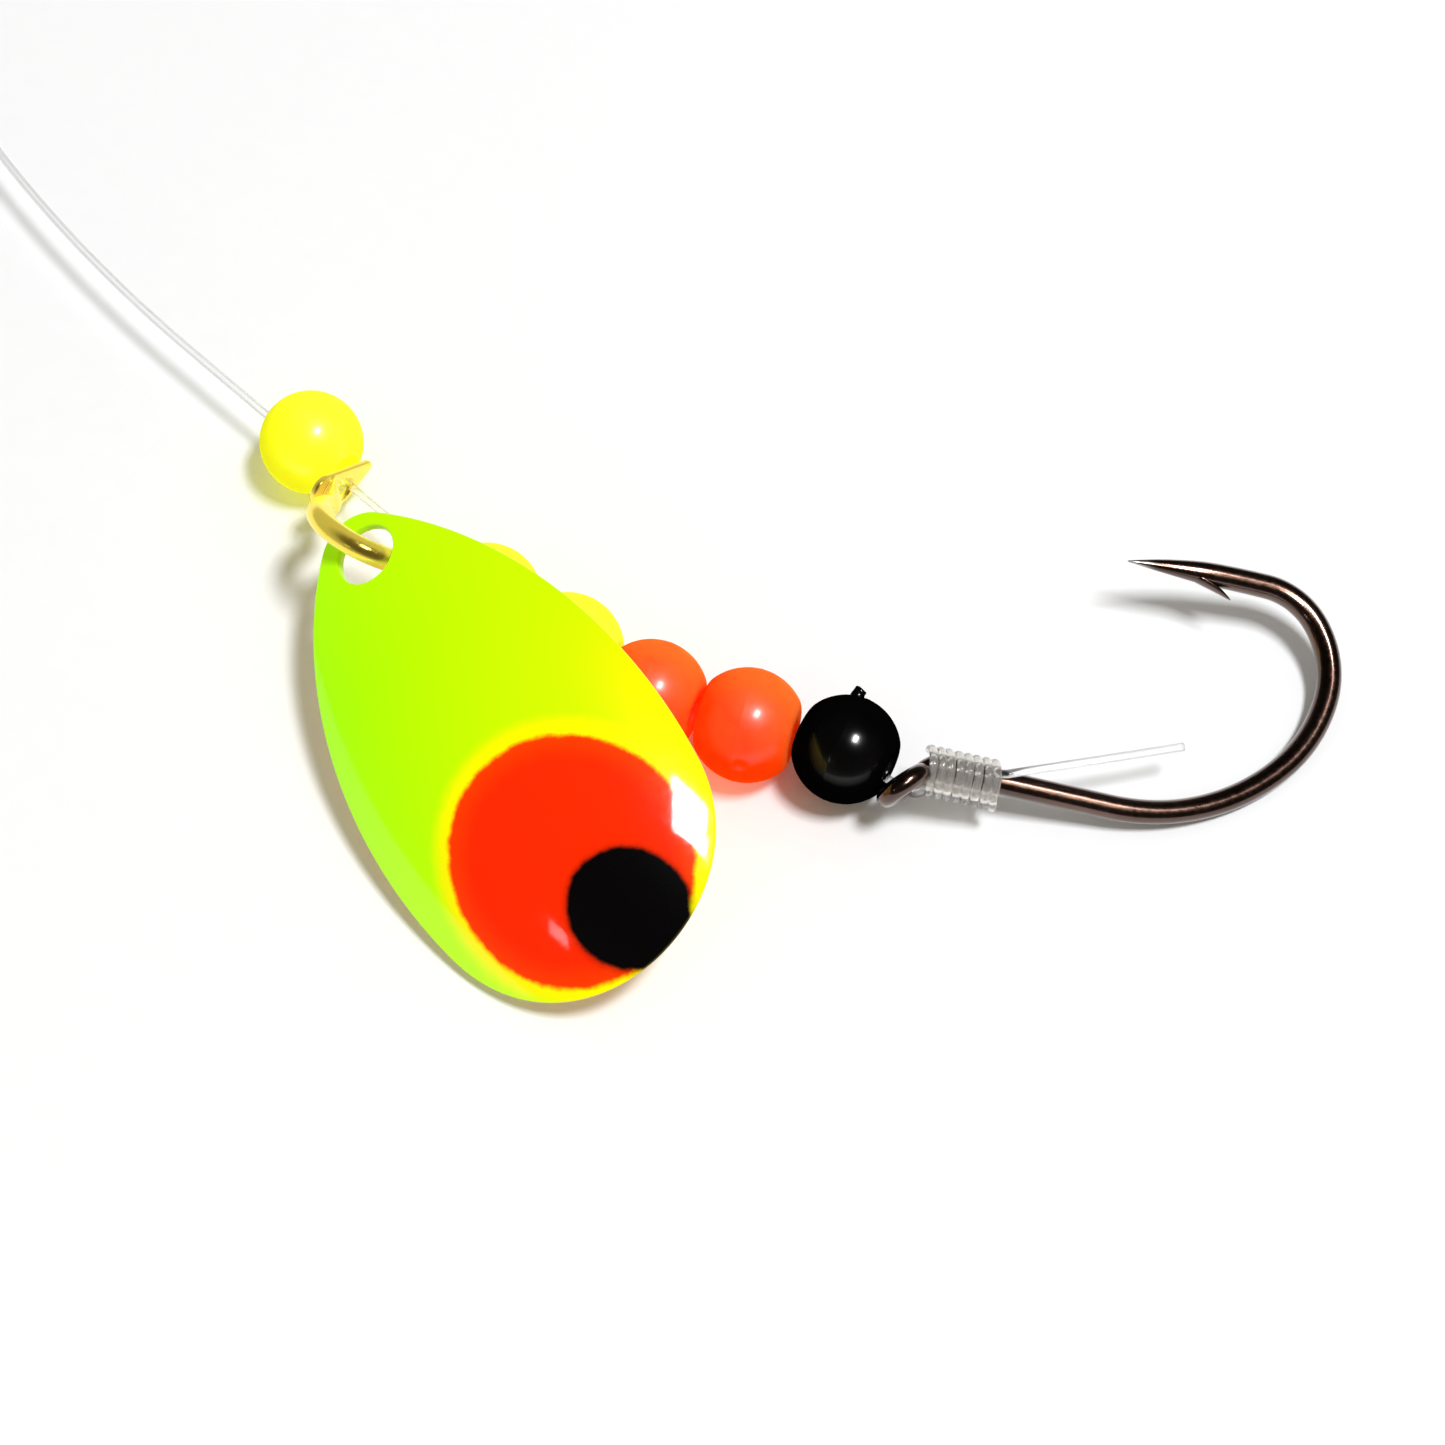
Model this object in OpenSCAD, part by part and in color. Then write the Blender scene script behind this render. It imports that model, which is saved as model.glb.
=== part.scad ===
// Inline spinner rig: a bead-bodied blade spinner on a monofilament leader, with a snelled hook.
// Units: millimetres. Row frame: origin at the free end of the leader, +X along the clevis's spin
// axis towards the hook, +Z up, leader lying in the plane z = 0. Front is -X, rear is +X.

/* [Leader] */
// Diameter of the monofilament
line_d = 0.40; // [0.30:0.01:0.44]
// Heading of the straight run through the clevis, in degrees from the spin axis
line_in_deg = -6.446; // [-6.6:0.002:-4]
// Sideways offset of the line where it enters the clevis
line_off = 0.38; // [0.30:0.01:0.40]
// Straight run ahead of the clevis
front_run = 11.56; // [10:0.01:16]
// Radius of the spool set ahead of the straight run
front_curve_r = 92.5; // [70:0.5:140]
// Length of that curve
front_curve_len = 18.15; // [10:0.05:30]
// Straight free end, for tying in
tail_len = 12.0; // [8:0.5:20]

/* [Body curve] */
// Straight run behind the clevis, before the beaded body bends
rear_run = 7.74; // [7.4:0.01:8]
// Radius of the beaded body's bend
body_curve_r = 33.2; // [31:0.1:40]
// Length of that bend
body_curve_len = 17.21; // [16.8:0.01:17.4]
// Radius of the reverse bend into the hook's eye
eye_curve_r = 13.0; // [12:0.1:15]
// Length of the reverse bend
eye_curve_len = 6.446; // [6.3:0.001:6.6]

/* [Beads] */
// Diameter of the head bead and of the black bead
small_bead_d = 5.0; // [4.6:0.05:5.05]
// Length of the head bead, flat to flat
small_bead_len = 4.7; // [4.2:0.05:4.8]
// Diameter of the chartreuse and orange body beads
large_bead_d = 5.3; // [4.8:0.05:5.35]
// Length of a body bead, and of the black bead, flat to flat
large_bead_len = 4.4; // [4.0:0.05:4.4]
// Diameter of every bead's bore
bead_bore = 1.4; // [1.2:0.05:1.6]

/* [Clevis] */
// Diameter of the clevis wire
clevis_wire_d = 1.1; // [0.8:0.05:1.1]
// Thickness of the flattened ears
clevis_ear_t = 0.44; // [0.3:0.02:0.5]
// Diameter of the holes the line runs through
clevis_hole_d = 1.45; // [1.40:0.01:1.6]
// Distance between the two ears, middle to middle
ear_gap = 6.34; // [6.2:0.01:6.4]
// Radius of the bow, to the middle of the wire
bow_r = 2.65; // [2.60:0.01:2.70]
// How far the bow's centre stands out from the spin axis
bow_out = 3.30; // [3.25:0.01:3.35]
// Roll of the clevis about the spin axis at rest, in degrees
bow_roll = 132.6; // [132:0.1:133.2]

/* [Blade] */
// Radius of the small end
blade_end_r = 2.15; // [2.1:0.01:2.3]
// Radius of the wide end
blade_wide_r = 7.17; // [7.0:0.01:7.4]
// Distance between the centres of the two ends
blade_centres = 16.63; // [16.5:0.01:16.8]
// Radius of the side arcs that join them
blade_side_r = 23.4; // [22:0.1:26]
// Thickness of the sheet
blade_t = 0.50; // [0.4:0.02:0.5]
// Lengthwise radius of the dish
blade_long_r = 33.5; // [33:0.1:34]
// Crosswise radius of the dish at its middle
blade_cross_r = 13.7; // [13.4:0.1:14]
// Diameter of the hole
blade_hole_d = 2.94; // [2.9:0.01:3.1]
// Thickness of the sprayed spots
film_t = 0.05; // [0.03:0.01:0.06]
// Diameter of the orange spot
orange_d = 10.85; // [10:0.05:11.2]
// Diameter of the black spot
black_d = 5.2; // [4:0.1:5.6]

/* [Hook] */
// Diameter of the hook wire
hook_wire_d = 1.15; // [1.0:0.05:1.2]
// Diameter of the wire round the eye
hook_eye_wire_d = 0.95; // [0.85:0.05:1.0]
// Radius of the eye, to the middle of its wire
hook_eye_mean_r = 0.97; // [0.95:0.01:1.05]
// Angle the eye is turned back by, away from the point
hook_eye_tilt = 43.6; // [40:0.1:46]
// Length of the shank's straight
shank_len = 8.53; // [8.3:0.01:8.8]
// Length of the point, from the end of the bend
point_len = 6.75; // [6.4:0.05:7]
// Angle the point curves in through
point_turn = 7.0; // [4:0.1:9]
// Length of the ground taper at the tip
point_taper = 3.5; // [3.2:0.1:3.8]

/* [Snell] */
// Number of wraps round the shank
wraps = 7; // [5:1:7]
// Distance from one wrap to the next
wrap_pitch = 0.43; // [0.43:0.01:0.46]

/* [Hidden] */
$fn = 64;

line_colour = [0.86, 0.88, 0.88];
chartreuse = [0.95, 1.0, 0.10];
orange = [1.0, 0.30, 0.16];
black = [0.02, 0.02, 0.02];
brass = [0.83, 0.66, 0.22];
lime = [0.74, 0.98, 0.02];
spot_orange = [1.0, 0.24, 0.02];
hook_colour = [0.17, 0.11, 0.09];

// ---------------------------------------------------------------- paths and tubes
// A pose is [x, y, heading in degrees]; curve is 1/radius, positive turning left.
function step(pose, length, curve) = abs(curve) < 1e-9
    ? [pose[0] + length * cos(pose[2]), pose[1] + length * sin(pose[2]), pose[2]]
    : let (heading = pose[2] + length * curve * 180 / PI)
      [pose[0] + (sin(heading) - sin(pose[2])) / curve,
       pose[1] - (cos(heading) - cos(pose[2])) / curve,
       heading];
function curve_of(turn, length) = turn * PI / 180 / length;
function point_of(pose) = [pose[0], pose[1], 0];
function onward(pose, distance) = point_of(step(pose, distance, 0));

// points first to last of an arc divided into count equal steps
function arc_points(pose, length, curve, first, last, count) =
    [for (i = [first : last]) point_of(step(pose, length * i / count, curve))];

// quadratic blend through three control points
function blend(a, b, c, t) = (1 - t) * (1 - t) * a + 2 * t * (1 - t) * b + t * t * c;

function unit(v) = v / norm(v);
function tangent(path, i) = unit(path[min(i + 1, len(path) - 1)] - path[max(i - 1, 0)]);
function square_to(axis, v) = unit(v - (v * axis) * axis);

// one sideways vector per point, each carried on from the one before to avoid twist
function side_vectors(path, start, i = 0, done = []) = i >= len(path) ? done
    : let (side = square_to(tangent(path, i), i == 0 ? start : done[i - 1]))
      side_vectors(path, start, i + 1, concat(done, [side]));

// tube swept along path, with one radius per point; start is the first sideways direction
module tube(path, radii, sides, start) {
    across = side_vectors(path, start);
    last = len(path) - 1;
    polyhedron(
        points = [for (i = [0 : last]) let (up = cross(tangent(path, i), across[i]))
            for (j = [0 : sides - 1]) let (a = 360 * j / sides)
                path[i] + radii[i] * cos(a) * across[i] + radii[i] * sin(a) * up],
        faces = concat(
            [[for (j = [0 : sides - 1]) sides - 1 - j]],
            [[for (j = [0 : sides - 1]) last * sides + j]],
            [for (i = [0 : last - 1]) for (j = [0 : sides - 1]) let (next = (j + 1) % sides)
                [i * sides + j, i * sides + next, (i + 1) * sides + next, (i + 1) * sides + j]]));
}

// outline of the convex hull of rounds [x, y, radius], by its support function
function reach(round, a) = round[0] * cos(a) + round[1] * sin(a) + round[2];
function farthest(rounds, a, i = 0, best = 0) = i >= len(rounds) ? best
    : farthest(rounds, a, i + 1, reach(rounds[i], a) > reach(rounds[best], a) ? i : best);
function hull_ring(rounds, count) = [for (i = [0 : count - 1])
    let (a = 360 * (i + 0.5) / count, round = rounds[farthest(rounds, a)])
    [round[0] + round[2] * cos(a), round[1] + round[2] * sin(a)]];

// ---------------------------------------------------------------- leader
line_r = line_d / 2;
// gap between the straight free end and the curved leader
tail_gap = 0.21;
// points on the straight run, as distances behind clevis_pose
straight_stations = [-4, 3];
// rounded end, outermost ring first: [distance beyond the end, radius], in line radii
cap = [[0.97, 0.24], [0.80, 0.60], [0.45, 0.893]];

clevis_pose = [0, line_off, line_in_deg];
front_pose = step(clevis_pose, -front_run, 0);
bend_pose = step(clevis_pose, rear_run, 0);
turn_pose = step(bend_pose, body_curve_len, 1 / body_curve_r);
eye_pose = step(turn_pose, eye_curve_len, -1 / eye_curve_r);
tail_pose = step(front_pose, -front_curve_len, 1 / front_curve_r);
end_pose = step(tail_pose, -tail_len, 0);

// pose on the line at a distance behind clevis_pose
function line_pose(distance) = distance <= rear_run ? step(clevis_pose, distance, 0)
    : distance <= rear_run + body_curve_len
        ? step(bend_pose, distance - rear_run, 1 / body_curve_r)
    : step(turn_pose, distance - rear_run - body_curve_len, -1 / eye_curve_r);

// moves the spin-axis frame, with its origin beside clevis_pose, into the row frame
module row() translate([-end_pose[0], -end_pose[1], 0]) children();

module at_pose(pose) translate(point_of(pose)) rotate([0, 0, pose[2]]) children();

leader_run = concat(
    arc_points(tail_pose, front_curve_len, 1 / front_curve_r, 0, 7, 8),
    [point_of(front_pose)],
    [for (s = straight_stations) onward(clevis_pose, s)],
    arc_points(bend_pose, body_curve_len, 1 / body_curve_r, 0, 13, 14),
    arc_points(turn_pose, eye_curve_len, -1 / eye_curve_r, 0, 12, 12));
leader_path = concat(
    [for (ring = cap) onward(tail_pose, -line_r * ring[0])],
    leader_run,
    [for (i = [2 : -1 : 0]) onward(eye_pose, line_r * cap[i][0])]);
leader_radii = concat(
    [for (ring = cap) line_r * ring[1]],
    [for (p = leader_run) line_r],
    [for (i = [2 : -1 : 0]) line_r * cap[i][1]]);

module leader() color(line_colour) row()
    tube(leader_path, leader_radii, sides = 14, start = [0, 0, 1]);

module leader_tail() color(line_colour) row() at_pose(end_pose)
    rotate([0, 90, 0]) cylinder(d = line_d, h = tail_len - tail_gap);

// ---------------------------------------------------------------- beads
// bead centres: [distance behind clevis_pose, sideways offset within the bore]
head_place = [-3.10, 0.42];
chartreuse_front_place = [9.45, 0.03];
chartreuse_rear_place = [14.20, 0.15];
orange_front_place = [18.86, -0.20];
orange_rear_place = [23.52, -0.05];
black_place = [28.14, 0.24];

// cone at each mouth of the bore: overshoot past the flat and depth within it,
// with how far its wide end lies outside the bore's radius and its narrow end inside
mouth_over = 0.3;
mouth_depth = 0.25;
mouth_flare = 0.5;
mouth_inset = 0.05;

// small raised nub on the black bead: [angle round the bore, position along it, diameter]
black_nub = [-62, -0.55, 0.62];
nub_sink = 0.35;
nub_height = 0.78;

// shallow dimple in the head bead
dimple_roll = -12;
dimple_x = 0.2;
dimple_lift = 0.12;
dimple_d = 0.55;

// a moulded bead: a ball with two flats and a bore along X
module bead(d, length, nub = []) {
    union() {
        rotate([0, 90, 0]) rotate_extrude() difference() {
            intersection() {
                circle(d = d);
                translate([bead_bore / 2, -length / 2]) square([d, length]);
            }
            for (end = [-1, 1]) {
                outer = end * (length / 2 + mouth_over);
                inner = end * (length / 2 - mouth_depth);
                polygon([[0, outer], [bead_bore / 2 + mouth_flare, outer],
                    [bead_bore / 2 - mouth_inset, inner], [0, inner]]);
            }
        }
        if (len(nub) == 3)
            rotate([nub[0], 0, 0]) translate([nub[1], 0, d / 2 - nub_sink])
                cylinder(d = nub[2], h = nub_height);
    }
}

module bead_at(place) {
    pose = line_pose(place[0]);
    at_pose([pose[0] - place[1] * sin(pose[2]), pose[1] + place[1] * cos(pose[2]), pose[2]])
        children();
}

module body_bead(place) row() bead_at(place) bead(large_bead_d, large_bead_len);

module head_bead() color(chartreuse) row() bead_at(head_place) difference() {
    bead(small_bead_d, small_bead_len);
    rotate([dimple_roll, 0, 0]) translate([dimple_x, 0, small_bead_d / 2 + dimple_lift])
        sphere(d = dimple_d);
}
module chartreuse_bead_front() color(chartreuse) body_bead(chartreuse_front_place);
module chartreuse_bead_rear() color(chartreuse) body_bead(chartreuse_rear_place);
module orange_bead_front() color(orange) body_bead(orange_front_place);
module orange_bead_rear() color(orange) body_bead(orange_rear_place);
module black_bead() color(black) row() bead_at(black_place)
    bead(small_bead_d, large_bead_len, black_nub);

// ---------------------------------------------------------------- clevis
// built with the bow out along +Y, then rolled about the spin axis
front_ear_x = 0.08;
rear_ear_x = front_ear_x + ear_gap;
// the bow sits behind the middle of the ears
bow_x = front_ear_x + ear_gap / 2 + 0.725;

// legs taper from inside the bow's ends to the ears
leg_bow_inset = 0.02;
leg_bow_y = bow_out + 0.35;
leg_ear_y = 1.15;
leg_bow_d = clevis_wire_d * 0.86;
leg_ear_d = clevis_wire_d * 0.66;

// the ear is a hull of rounds [z, y, radius]; lug scales how far its corner lug stands out
function ear_rounds(lug) =
    [[0, 0, 1.22], [-1.00 * lug, -1.22 * lug, 0.39], [0.05, -0.45, 1.18], [0, 2.2, 0.50]];
front_lug = 1;
// short enough to stay inside the ear's main round
rear_lug = 0.4;

module clevis_ear(x, lug) translate([x + clevis_ear_t / 2, 0, 0]) rotate([0, -90, 0])
    linear_extrude(clevis_ear_t) polygon(hull_ring(ear_rounds(lug), 56));

module clevis_leg(from, to) {
    span = to - from;
    translate(from) rotate([0, 0, atan2(span[1], span[0])]) rotate([0, 90, 0])
        cylinder(d1 = leg_bow_d, d2 = leg_ear_d, h = norm(span));
}

// one side: side is -1 at the front, 1 at the rear
module clevis_side(side, ear_x, lug) {
    clevis_leg([bow_x + side * (bow_r - leg_bow_inset), leg_bow_y, 0], [ear_x, leg_ear_y, 0]);
    clevis_ear(ear_x, lug);
}

module clevis() color(brass) row() rotate([bow_roll, 0, 0]) difference() {
    union() {
        translate([bow_x, bow_out, 0]) rotate_extrude(angle = 180)
            translate([bow_r, 0]) circle(d = clevis_wire_d);
        clevis_side(-1, front_ear_x, front_lug);
        clevis_side(1, rear_ear_x, rear_lug);
    }
    rotate([0, 90, 0]) translate([0, 0, -2]) cylinder(d = clevis_hole_d, h = 11);
}

// ---------------------------------------------------------------- blade
// egg outline: a small and a wide end circle joined by tangent side arcs, small centre at [0, 0]
side_to_end = blade_side_r - blade_end_r;
side_to_wide = blade_side_r - blade_wide_r;
side_x = (side_to_end * side_to_end - side_to_wide * side_to_wide
    + blade_centres * blade_centres) / (2 * blade_centres);
side_y = sqrt(side_to_end * side_to_end - side_x * side_x);
end_angle = atan2(side_y, -side_x);
wide_angle = atan2(side_y, blade_centres - side_x);

// points round a circle from one angle up to, but not including, another
function circle_points(centre, r, from, to, count) = [for (i = [0 : count - 1])
    let (a = from + (to - from) * i / count) [centre[0] + r * cos(a), centre[1] + r * sin(a)]];
half_egg = concat(
    circle_points([0, 0], blade_end_r, 180, end_angle, 10),
    circle_points([side_x, -side_y], blade_side_r, end_angle, wide_angle, 22),
    circle_points([blade_centres, 0], blade_wide_r, wide_angle, 0, 22));
egg = concat(half_egg, [[blade_centres + blade_wide_r, 0]],
    [for (i = [len(half_egg) - 1 : -1 : 1]) [half_egg[i][0], -half_egg[i][1]]]);

blade_mid = (blade_centres + blade_wide_r - blade_end_r) / 2;
dish_end = sqrt(pow(blade_long_r, 2) - pow(blade_mid + blade_end_r, 2)) - blade_long_r;
// angle the dish is swept through, and the window that keeps one side of its section
dish_sweep = 100;
window_x = 6;
window_size = [12, 30];
// depth below z = 0 at which the egg-shaped cutters start
cutter_depth = 3;

hole_place = [0.257, 0.272, 0.88];
hole_lean = -18;

// spot centres, and the gap under each spot
orange_place = [18.2, 0.10];
black_spot_place = [21.41, 0.97];
spot_gap = 0.004;
// the spots are trimmed to an egg slightly inside the blade's edge
trim_scale = 0.985;
trim_shift = 0.12;

// layer of the dished sheet from height low to high above its middle surface; axis along X
module dish_layer(low, high) translate([blade_mid, 0, -blade_cross_r - dish_end])
    rotate([0, 90, 0]) rotate([0, 0, 180 - dish_sweep / 2])
        rotate_extrude(angle = dish_sweep) intersection() {
            translate([blade_cross_r - blade_long_r, 0]) difference() {
                circle(r = blade_long_r + high);
                circle(r = blade_long_r + low);
            }
            translate([window_x, -window_size[1] / 2]) square(window_size);
        }

// blade frame: X towards the wide end, Z out of the domed face; it hangs from a pivot by the hole
module blade_place() row() translate([4.715, -3.377, 2.68]) rotate([26.63, 4.45, -19.08])
    translate([0.269, 0, 0.054]) children();

module blade() color(lime) blade_place() difference() {
    intersection() {
        dish_layer(-blade_t / 2, blade_t / 2);
        translate([0, 0, -cutter_depth]) linear_extrude(9) polygon(egg);
    }
    translate(hole_place) rotate([0, hole_lean, 0])
        cylinder(d = blade_hole_d, h = 6, center = true);
}

module spot(place, d, lift) blade_place() intersection() {
    dish_layer(blade_t / 2 + lift, blade_t / 2 + lift + film_t);
    translate([place[0], place[1], 0]) cylinder(d = d, h = 8);
    translate([0, 0, -cutter_depth]) linear_extrude(11)
        scale([trim_scale, trim_scale]) translate([trim_shift, 0]) polygon(egg);
}

module blade_spot_orange() color(spot_orange) spot(orange_place, orange_d, spot_gap);
// the black spot lies over the orange one
module blade_spot_black() color(black) spot(black_spot_place, black_d, 2 * spot_gap + film_t);

// ---------------------------------------------------------------- hook
// in its own plane: X along the shank towards the bend, Y towards the point
module hook_place() row() translate([34.1335, 5.9692, -0.45]) rotate([13.57, 11.217, 30.35])
    children();

shank_start = [-3.40, 0.317, -0.92];
shank_r = hook_wire_d / 2;
// lengths left off the two ends of the shank's straight
shank_lead = 0.25;
shank_trim = 0.20;
shank_pose = step(shank_start, shank_lead, 0);

// arcs of the bend in order: [length, turn in degrees]
bend = [[5.15, 29.3], [3.81, 21.4], [3.98, 31.3], [3.74, 45.1], [3.09, 52.3]];
// rough turn from one point of the bend to the next
bend_step = 5.2;
function bend_curve(arc) = curve_of(arc[1], arc[0]);
// pose after the first count arcs
function after_bend(count) = count == 0 ? step(shank_start, shank_len, 0)
    : let (arc = bend[count - 1]) step(after_bend(count - 1), arc[0], bend_curve(arc));
point_pose = after_bend(len(bend));
point_curve = curve_of(point_turn, point_len);

// the eye is a loop open between these angles, measured from its tilted axis
eye_from = 38;
eye_to = 340;
eye_centre = [-4.34, -0.78, 0];
eye_axis = [cos(hook_eye_tilt), sin(hook_eye_tilt), 0];
function eye_point(a) = eye_centre + hook_eye_mean_r * (cos(a) * eye_axis + sin(a) * [0, 0, 1]);

// the neck blends the eye into the shank
neck_control = eye_centre + [0.80, 0.87, 0.05];
neck_radii = [0.49, 0.52, 0.55];

// stations of the point: [distance from the end of the bend, radius]
point_stations = [
    [0, 0.575], [1.6, 0.565], [point_len - point_taper, 0.53], [point_len - 2.5, 0.44],
    [point_len - 1.6, 0.31], [point_len - 0.7, 0.16], [point_len, 0.03]];

eye_points = [for (i = [0 : 20]) eye_point(eye_from + (eye_to - eye_from) * i / 20)];
neck_points = [for (i = [1 : 3])
    blend(eye_point(eye_to), neck_control, point_of(shank_pose), i / 4)];
straight_points = arc_points(shank_pose, shank_len - shank_lead - shank_trim, 0, 0, 5, 5);
bend_points = [for (j = [0 : len(bend) - 1]) let (count = round(bend[j][1] / bend_step))
    each arc_points(after_bend(j), bend[j][0], bend_curve(bend[j]),
        j == 0 ? 1 : 0, count - 1, count)];
point_points = [for (s = point_stations) point_of(step(point_pose, s[0], point_curve))];
hook_path = concat(eye_points, neck_points, straight_points, bend_points, point_points);
hook_radii = concat(
    [for (p = eye_points) hook_eye_wire_d / 2],
    neck_radii,
    [for (p = concat(straight_points, bend_points)) shank_r],
    [for (s = point_stations) s[1]]);

module hook() color(hook_colour) hook_place() union() {
    tube(hook_path, hook_radii, sides = 14, start = [1, 0, 0]);
    barb();
}

// sliced barb on the inside of the point, this far past the end of the bend
barb_at = 2.85;
barb_points = [[0.95, 0.22, 0], [-1.20, 1.10, 0], [-0.72, 0.28, 0.30],
    [-0.72, 0.28, -0.30], [-0.35, -0.05, 0]];
barb_faces = [[0, 2, 1], [0, 1, 3], [1, 2, 4], [1, 4, 3], [0, 4, 2], [0, 3, 4]];
module barb() at_pose(step(point_pose, barb_at, point_curve))
    polyhedron(points = barb_points, faces = barb_faces);

// ---------------------------------------------------------------- snell, in the hook's frame
wrap_start = -3.20;
wrap_end = wrap_start + wraps * wrap_pitch;
wrap_gap = 0.02;
wrap_steps = 18;
function shank_y(x) = shank_start[1] + (x - shank_start[0]) * tan(shank_start[2]);
// the standing line runs along the shank on its -Y side
line_y = -(shank_r + line_r + wrap_gap);

// wraps hug the shank and the standing line: the farther of the two rounds [y, z, radius]
wrap_rounds = [[0, 0, shank_r], [line_y, 0, line_r]];
function wrap_point(a) =
    let (x = wrap_start + wrap_pitch * a / 360,
         round = wrap_rounds[farthest(wrap_rounds, a)],
         r = round[2] + line_r + wrap_gap)
    [x, shank_y(x) + round[0] + r * cos(a), r * sin(a)];
wrap_path = [for (i = [0 : wraps * wrap_steps]) wrap_point(i * 360 / wrap_steps)];

// tube of line
module line_tube(path, sides, start) color(line_colour) hook_place()
    tube(path, [for (p = path) line_r], sides, start);

module snell_wraps() line_tube(wrap_path, sides = 8, start = [1, 0, 0]);

// the standing line comes out of the eye in this direction, then follows the shank
through_eye = [0.69, -0.72, 0];
snell_x = -3.10;
snell_dip = 0.02;
snell_path = concat(
    [for (i = [0 : 7]) blend(eye_centre + 0.22 * through_eye, eye_centre + 0.80 * through_eye,
        [snell_x, shank_y(snell_x) + line_y - snell_dip, 0], i / 8)],
    [for (i = [0 : 6]) let (x = snell_x + (wrap_end - snell_x) * i / 6)
        [x, shank_y(x) + line_y, 0]]);
module snell_line() line_tube(snell_path, sides = 10, start = [0, 0, 1]);

// control points of the tag end
tag = [[0.05, 0.46, 0.86], [3.4, 1.62, 1.25], [7.85, 3.30, 1.32]];
tag_path = [for (i = [0 : 12]) blend(tag[0], tag[1], tag[2], i / 12)];
module tag_end() line_tube(tag_path, sides = 10, start = [0, 0, 1]);

leader();
leader_tail();
head_bead();
clevis();
blade();
blade_spot_orange();
blade_spot_black();
chartreuse_bead_front();
chartreuse_bead_rear();
orange_bead_front();
orange_bead_rear();
black_bead();
hook();
snell_line();
snell_wraps();
tag_end();
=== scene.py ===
"""Spinner rig: a clear leader threaded through six beads and a brass clevis, which carries an
egg-shaped painted blade, ending in a snelled black hook.

The leader lies in the XY plane with its free end at the origin and runs towards +X. Lengths are
millimetres in this row frame; every finished mesh is scaled to metres in place.
"""

from math import atan2, cos, hypot, pi, radians, sin, sqrt

import bmesh
import bpy
import numpy as np
from mathutils import Matrix, Vector
from mathutils.geometry import delaunay_2d_cdt


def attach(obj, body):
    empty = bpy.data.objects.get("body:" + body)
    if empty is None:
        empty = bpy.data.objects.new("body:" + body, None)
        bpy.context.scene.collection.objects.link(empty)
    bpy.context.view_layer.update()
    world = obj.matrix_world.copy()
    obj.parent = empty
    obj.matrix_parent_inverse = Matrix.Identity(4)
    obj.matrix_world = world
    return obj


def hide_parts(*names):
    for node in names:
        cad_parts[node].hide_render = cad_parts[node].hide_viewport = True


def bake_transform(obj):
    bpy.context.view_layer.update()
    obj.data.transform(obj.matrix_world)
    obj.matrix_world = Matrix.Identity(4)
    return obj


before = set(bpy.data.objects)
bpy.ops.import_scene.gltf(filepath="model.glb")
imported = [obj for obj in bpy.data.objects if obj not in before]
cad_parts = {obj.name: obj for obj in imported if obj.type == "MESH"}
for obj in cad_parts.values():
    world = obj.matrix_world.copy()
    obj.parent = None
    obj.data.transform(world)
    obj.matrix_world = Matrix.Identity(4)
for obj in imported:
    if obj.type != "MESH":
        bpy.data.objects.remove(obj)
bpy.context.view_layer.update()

MM = 0.001
scene = bpy.context.scene


# ---------------------------------------------------------------- curves and placing
def advance(pose, length, curvature=0.0):
    """Moves a pose (x, y, heading) along a straight or an arc."""
    x, y, heading = pose
    if abs(curvature) < 1e-9:
        return (x + length * cos(heading), y + length * sin(heading), heading)
    turned = heading + length * curvature
    return (x + (sin(turned) - sin(heading)) / curvature,
            y - (cos(turned) - cos(heading)) / curvature, turned)


def flat_point(pose):
    return np.array([pose[0], pose[1], 0.0])


def heading_vector(pose):
    return np.array([cos(pose[2]), sin(pose[2]), 0.0])


def rotation(x, y, z):
    """Turns by these degrees about X, then Y, then Z."""
    return (Matrix.Rotation(radians(z), 4, "Z") @ Matrix.Rotation(radians(y), 4, "Y")
            @ Matrix.Rotation(radians(x), 4, "X"))


def smooth(t):
    t = np.clip(t, 0.0, 1.0)
    return t * t * (3 - 2 * t)


def bezier(start, control, end, t):
    return (1 - t) ** 2 * start + 2 * t * (1 - t) * control + t * t * end


def distances(points):
    """Length run along a polyline at each of its points."""
    return np.concatenate([[0], np.cumsum(np.linalg.norm(np.diff(points, axis=0), axis=1))])


def resample(points, spacing):
    """Points at even spacing along the Catmull-Rom curve through a polyline."""
    path = np.array(points, float)
    path = np.vstack([2 * path[0] - path[1], path, 2 * path[-1] - path[-2]])
    dense = []
    for i in range(1, len(path) - 2):
        before, here, after, beyond = path[i - 1:i + 3]
        for t in np.linspace(0, 1, 12, endpoint=False):
            dense.append(0.5 * ((2 * here) + (-before + after) * t
                                + (2 * before - 5 * here + 4 * after - beyond) * t * t
                                + (-before + 3 * here - 3 * after + beyond) * t ** 3))
    dense.append(path[-2])
    dense = np.array(dense)
    run = distances(dense)
    at = np.linspace(0, run[-1], max(2, int(round(run[-1] / spacing)) + 1))
    return np.stack([np.interp(at, run, dense[:, k]) for k in range(3)], 1)


# ---------------------------------------------------------------- meshes
def new_object(name, verts, faces, shade_smooth=True):
    mesh = bpy.data.meshes.new(name)
    mesh.from_pydata([tuple(map(float, v)) for v in verts], [],
                     [tuple(map(int, f)) for f in faces])
    mesh.validate()
    mesh.update()
    piece = bpy.data.objects.new(name, mesh)
    scene.collection.objects.link(piece)
    if shade_smooth:
        mesh.polygons.foreach_set("use_smooth", [True] * len(mesh.polygons))
    return piece


def add_attribute(piece, name, values):
    layer = piece.data.attributes.new(name, "FLOAT", "POINT")
    layer.data.foreach_set("value", np.asarray(values, np.float32))


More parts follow.
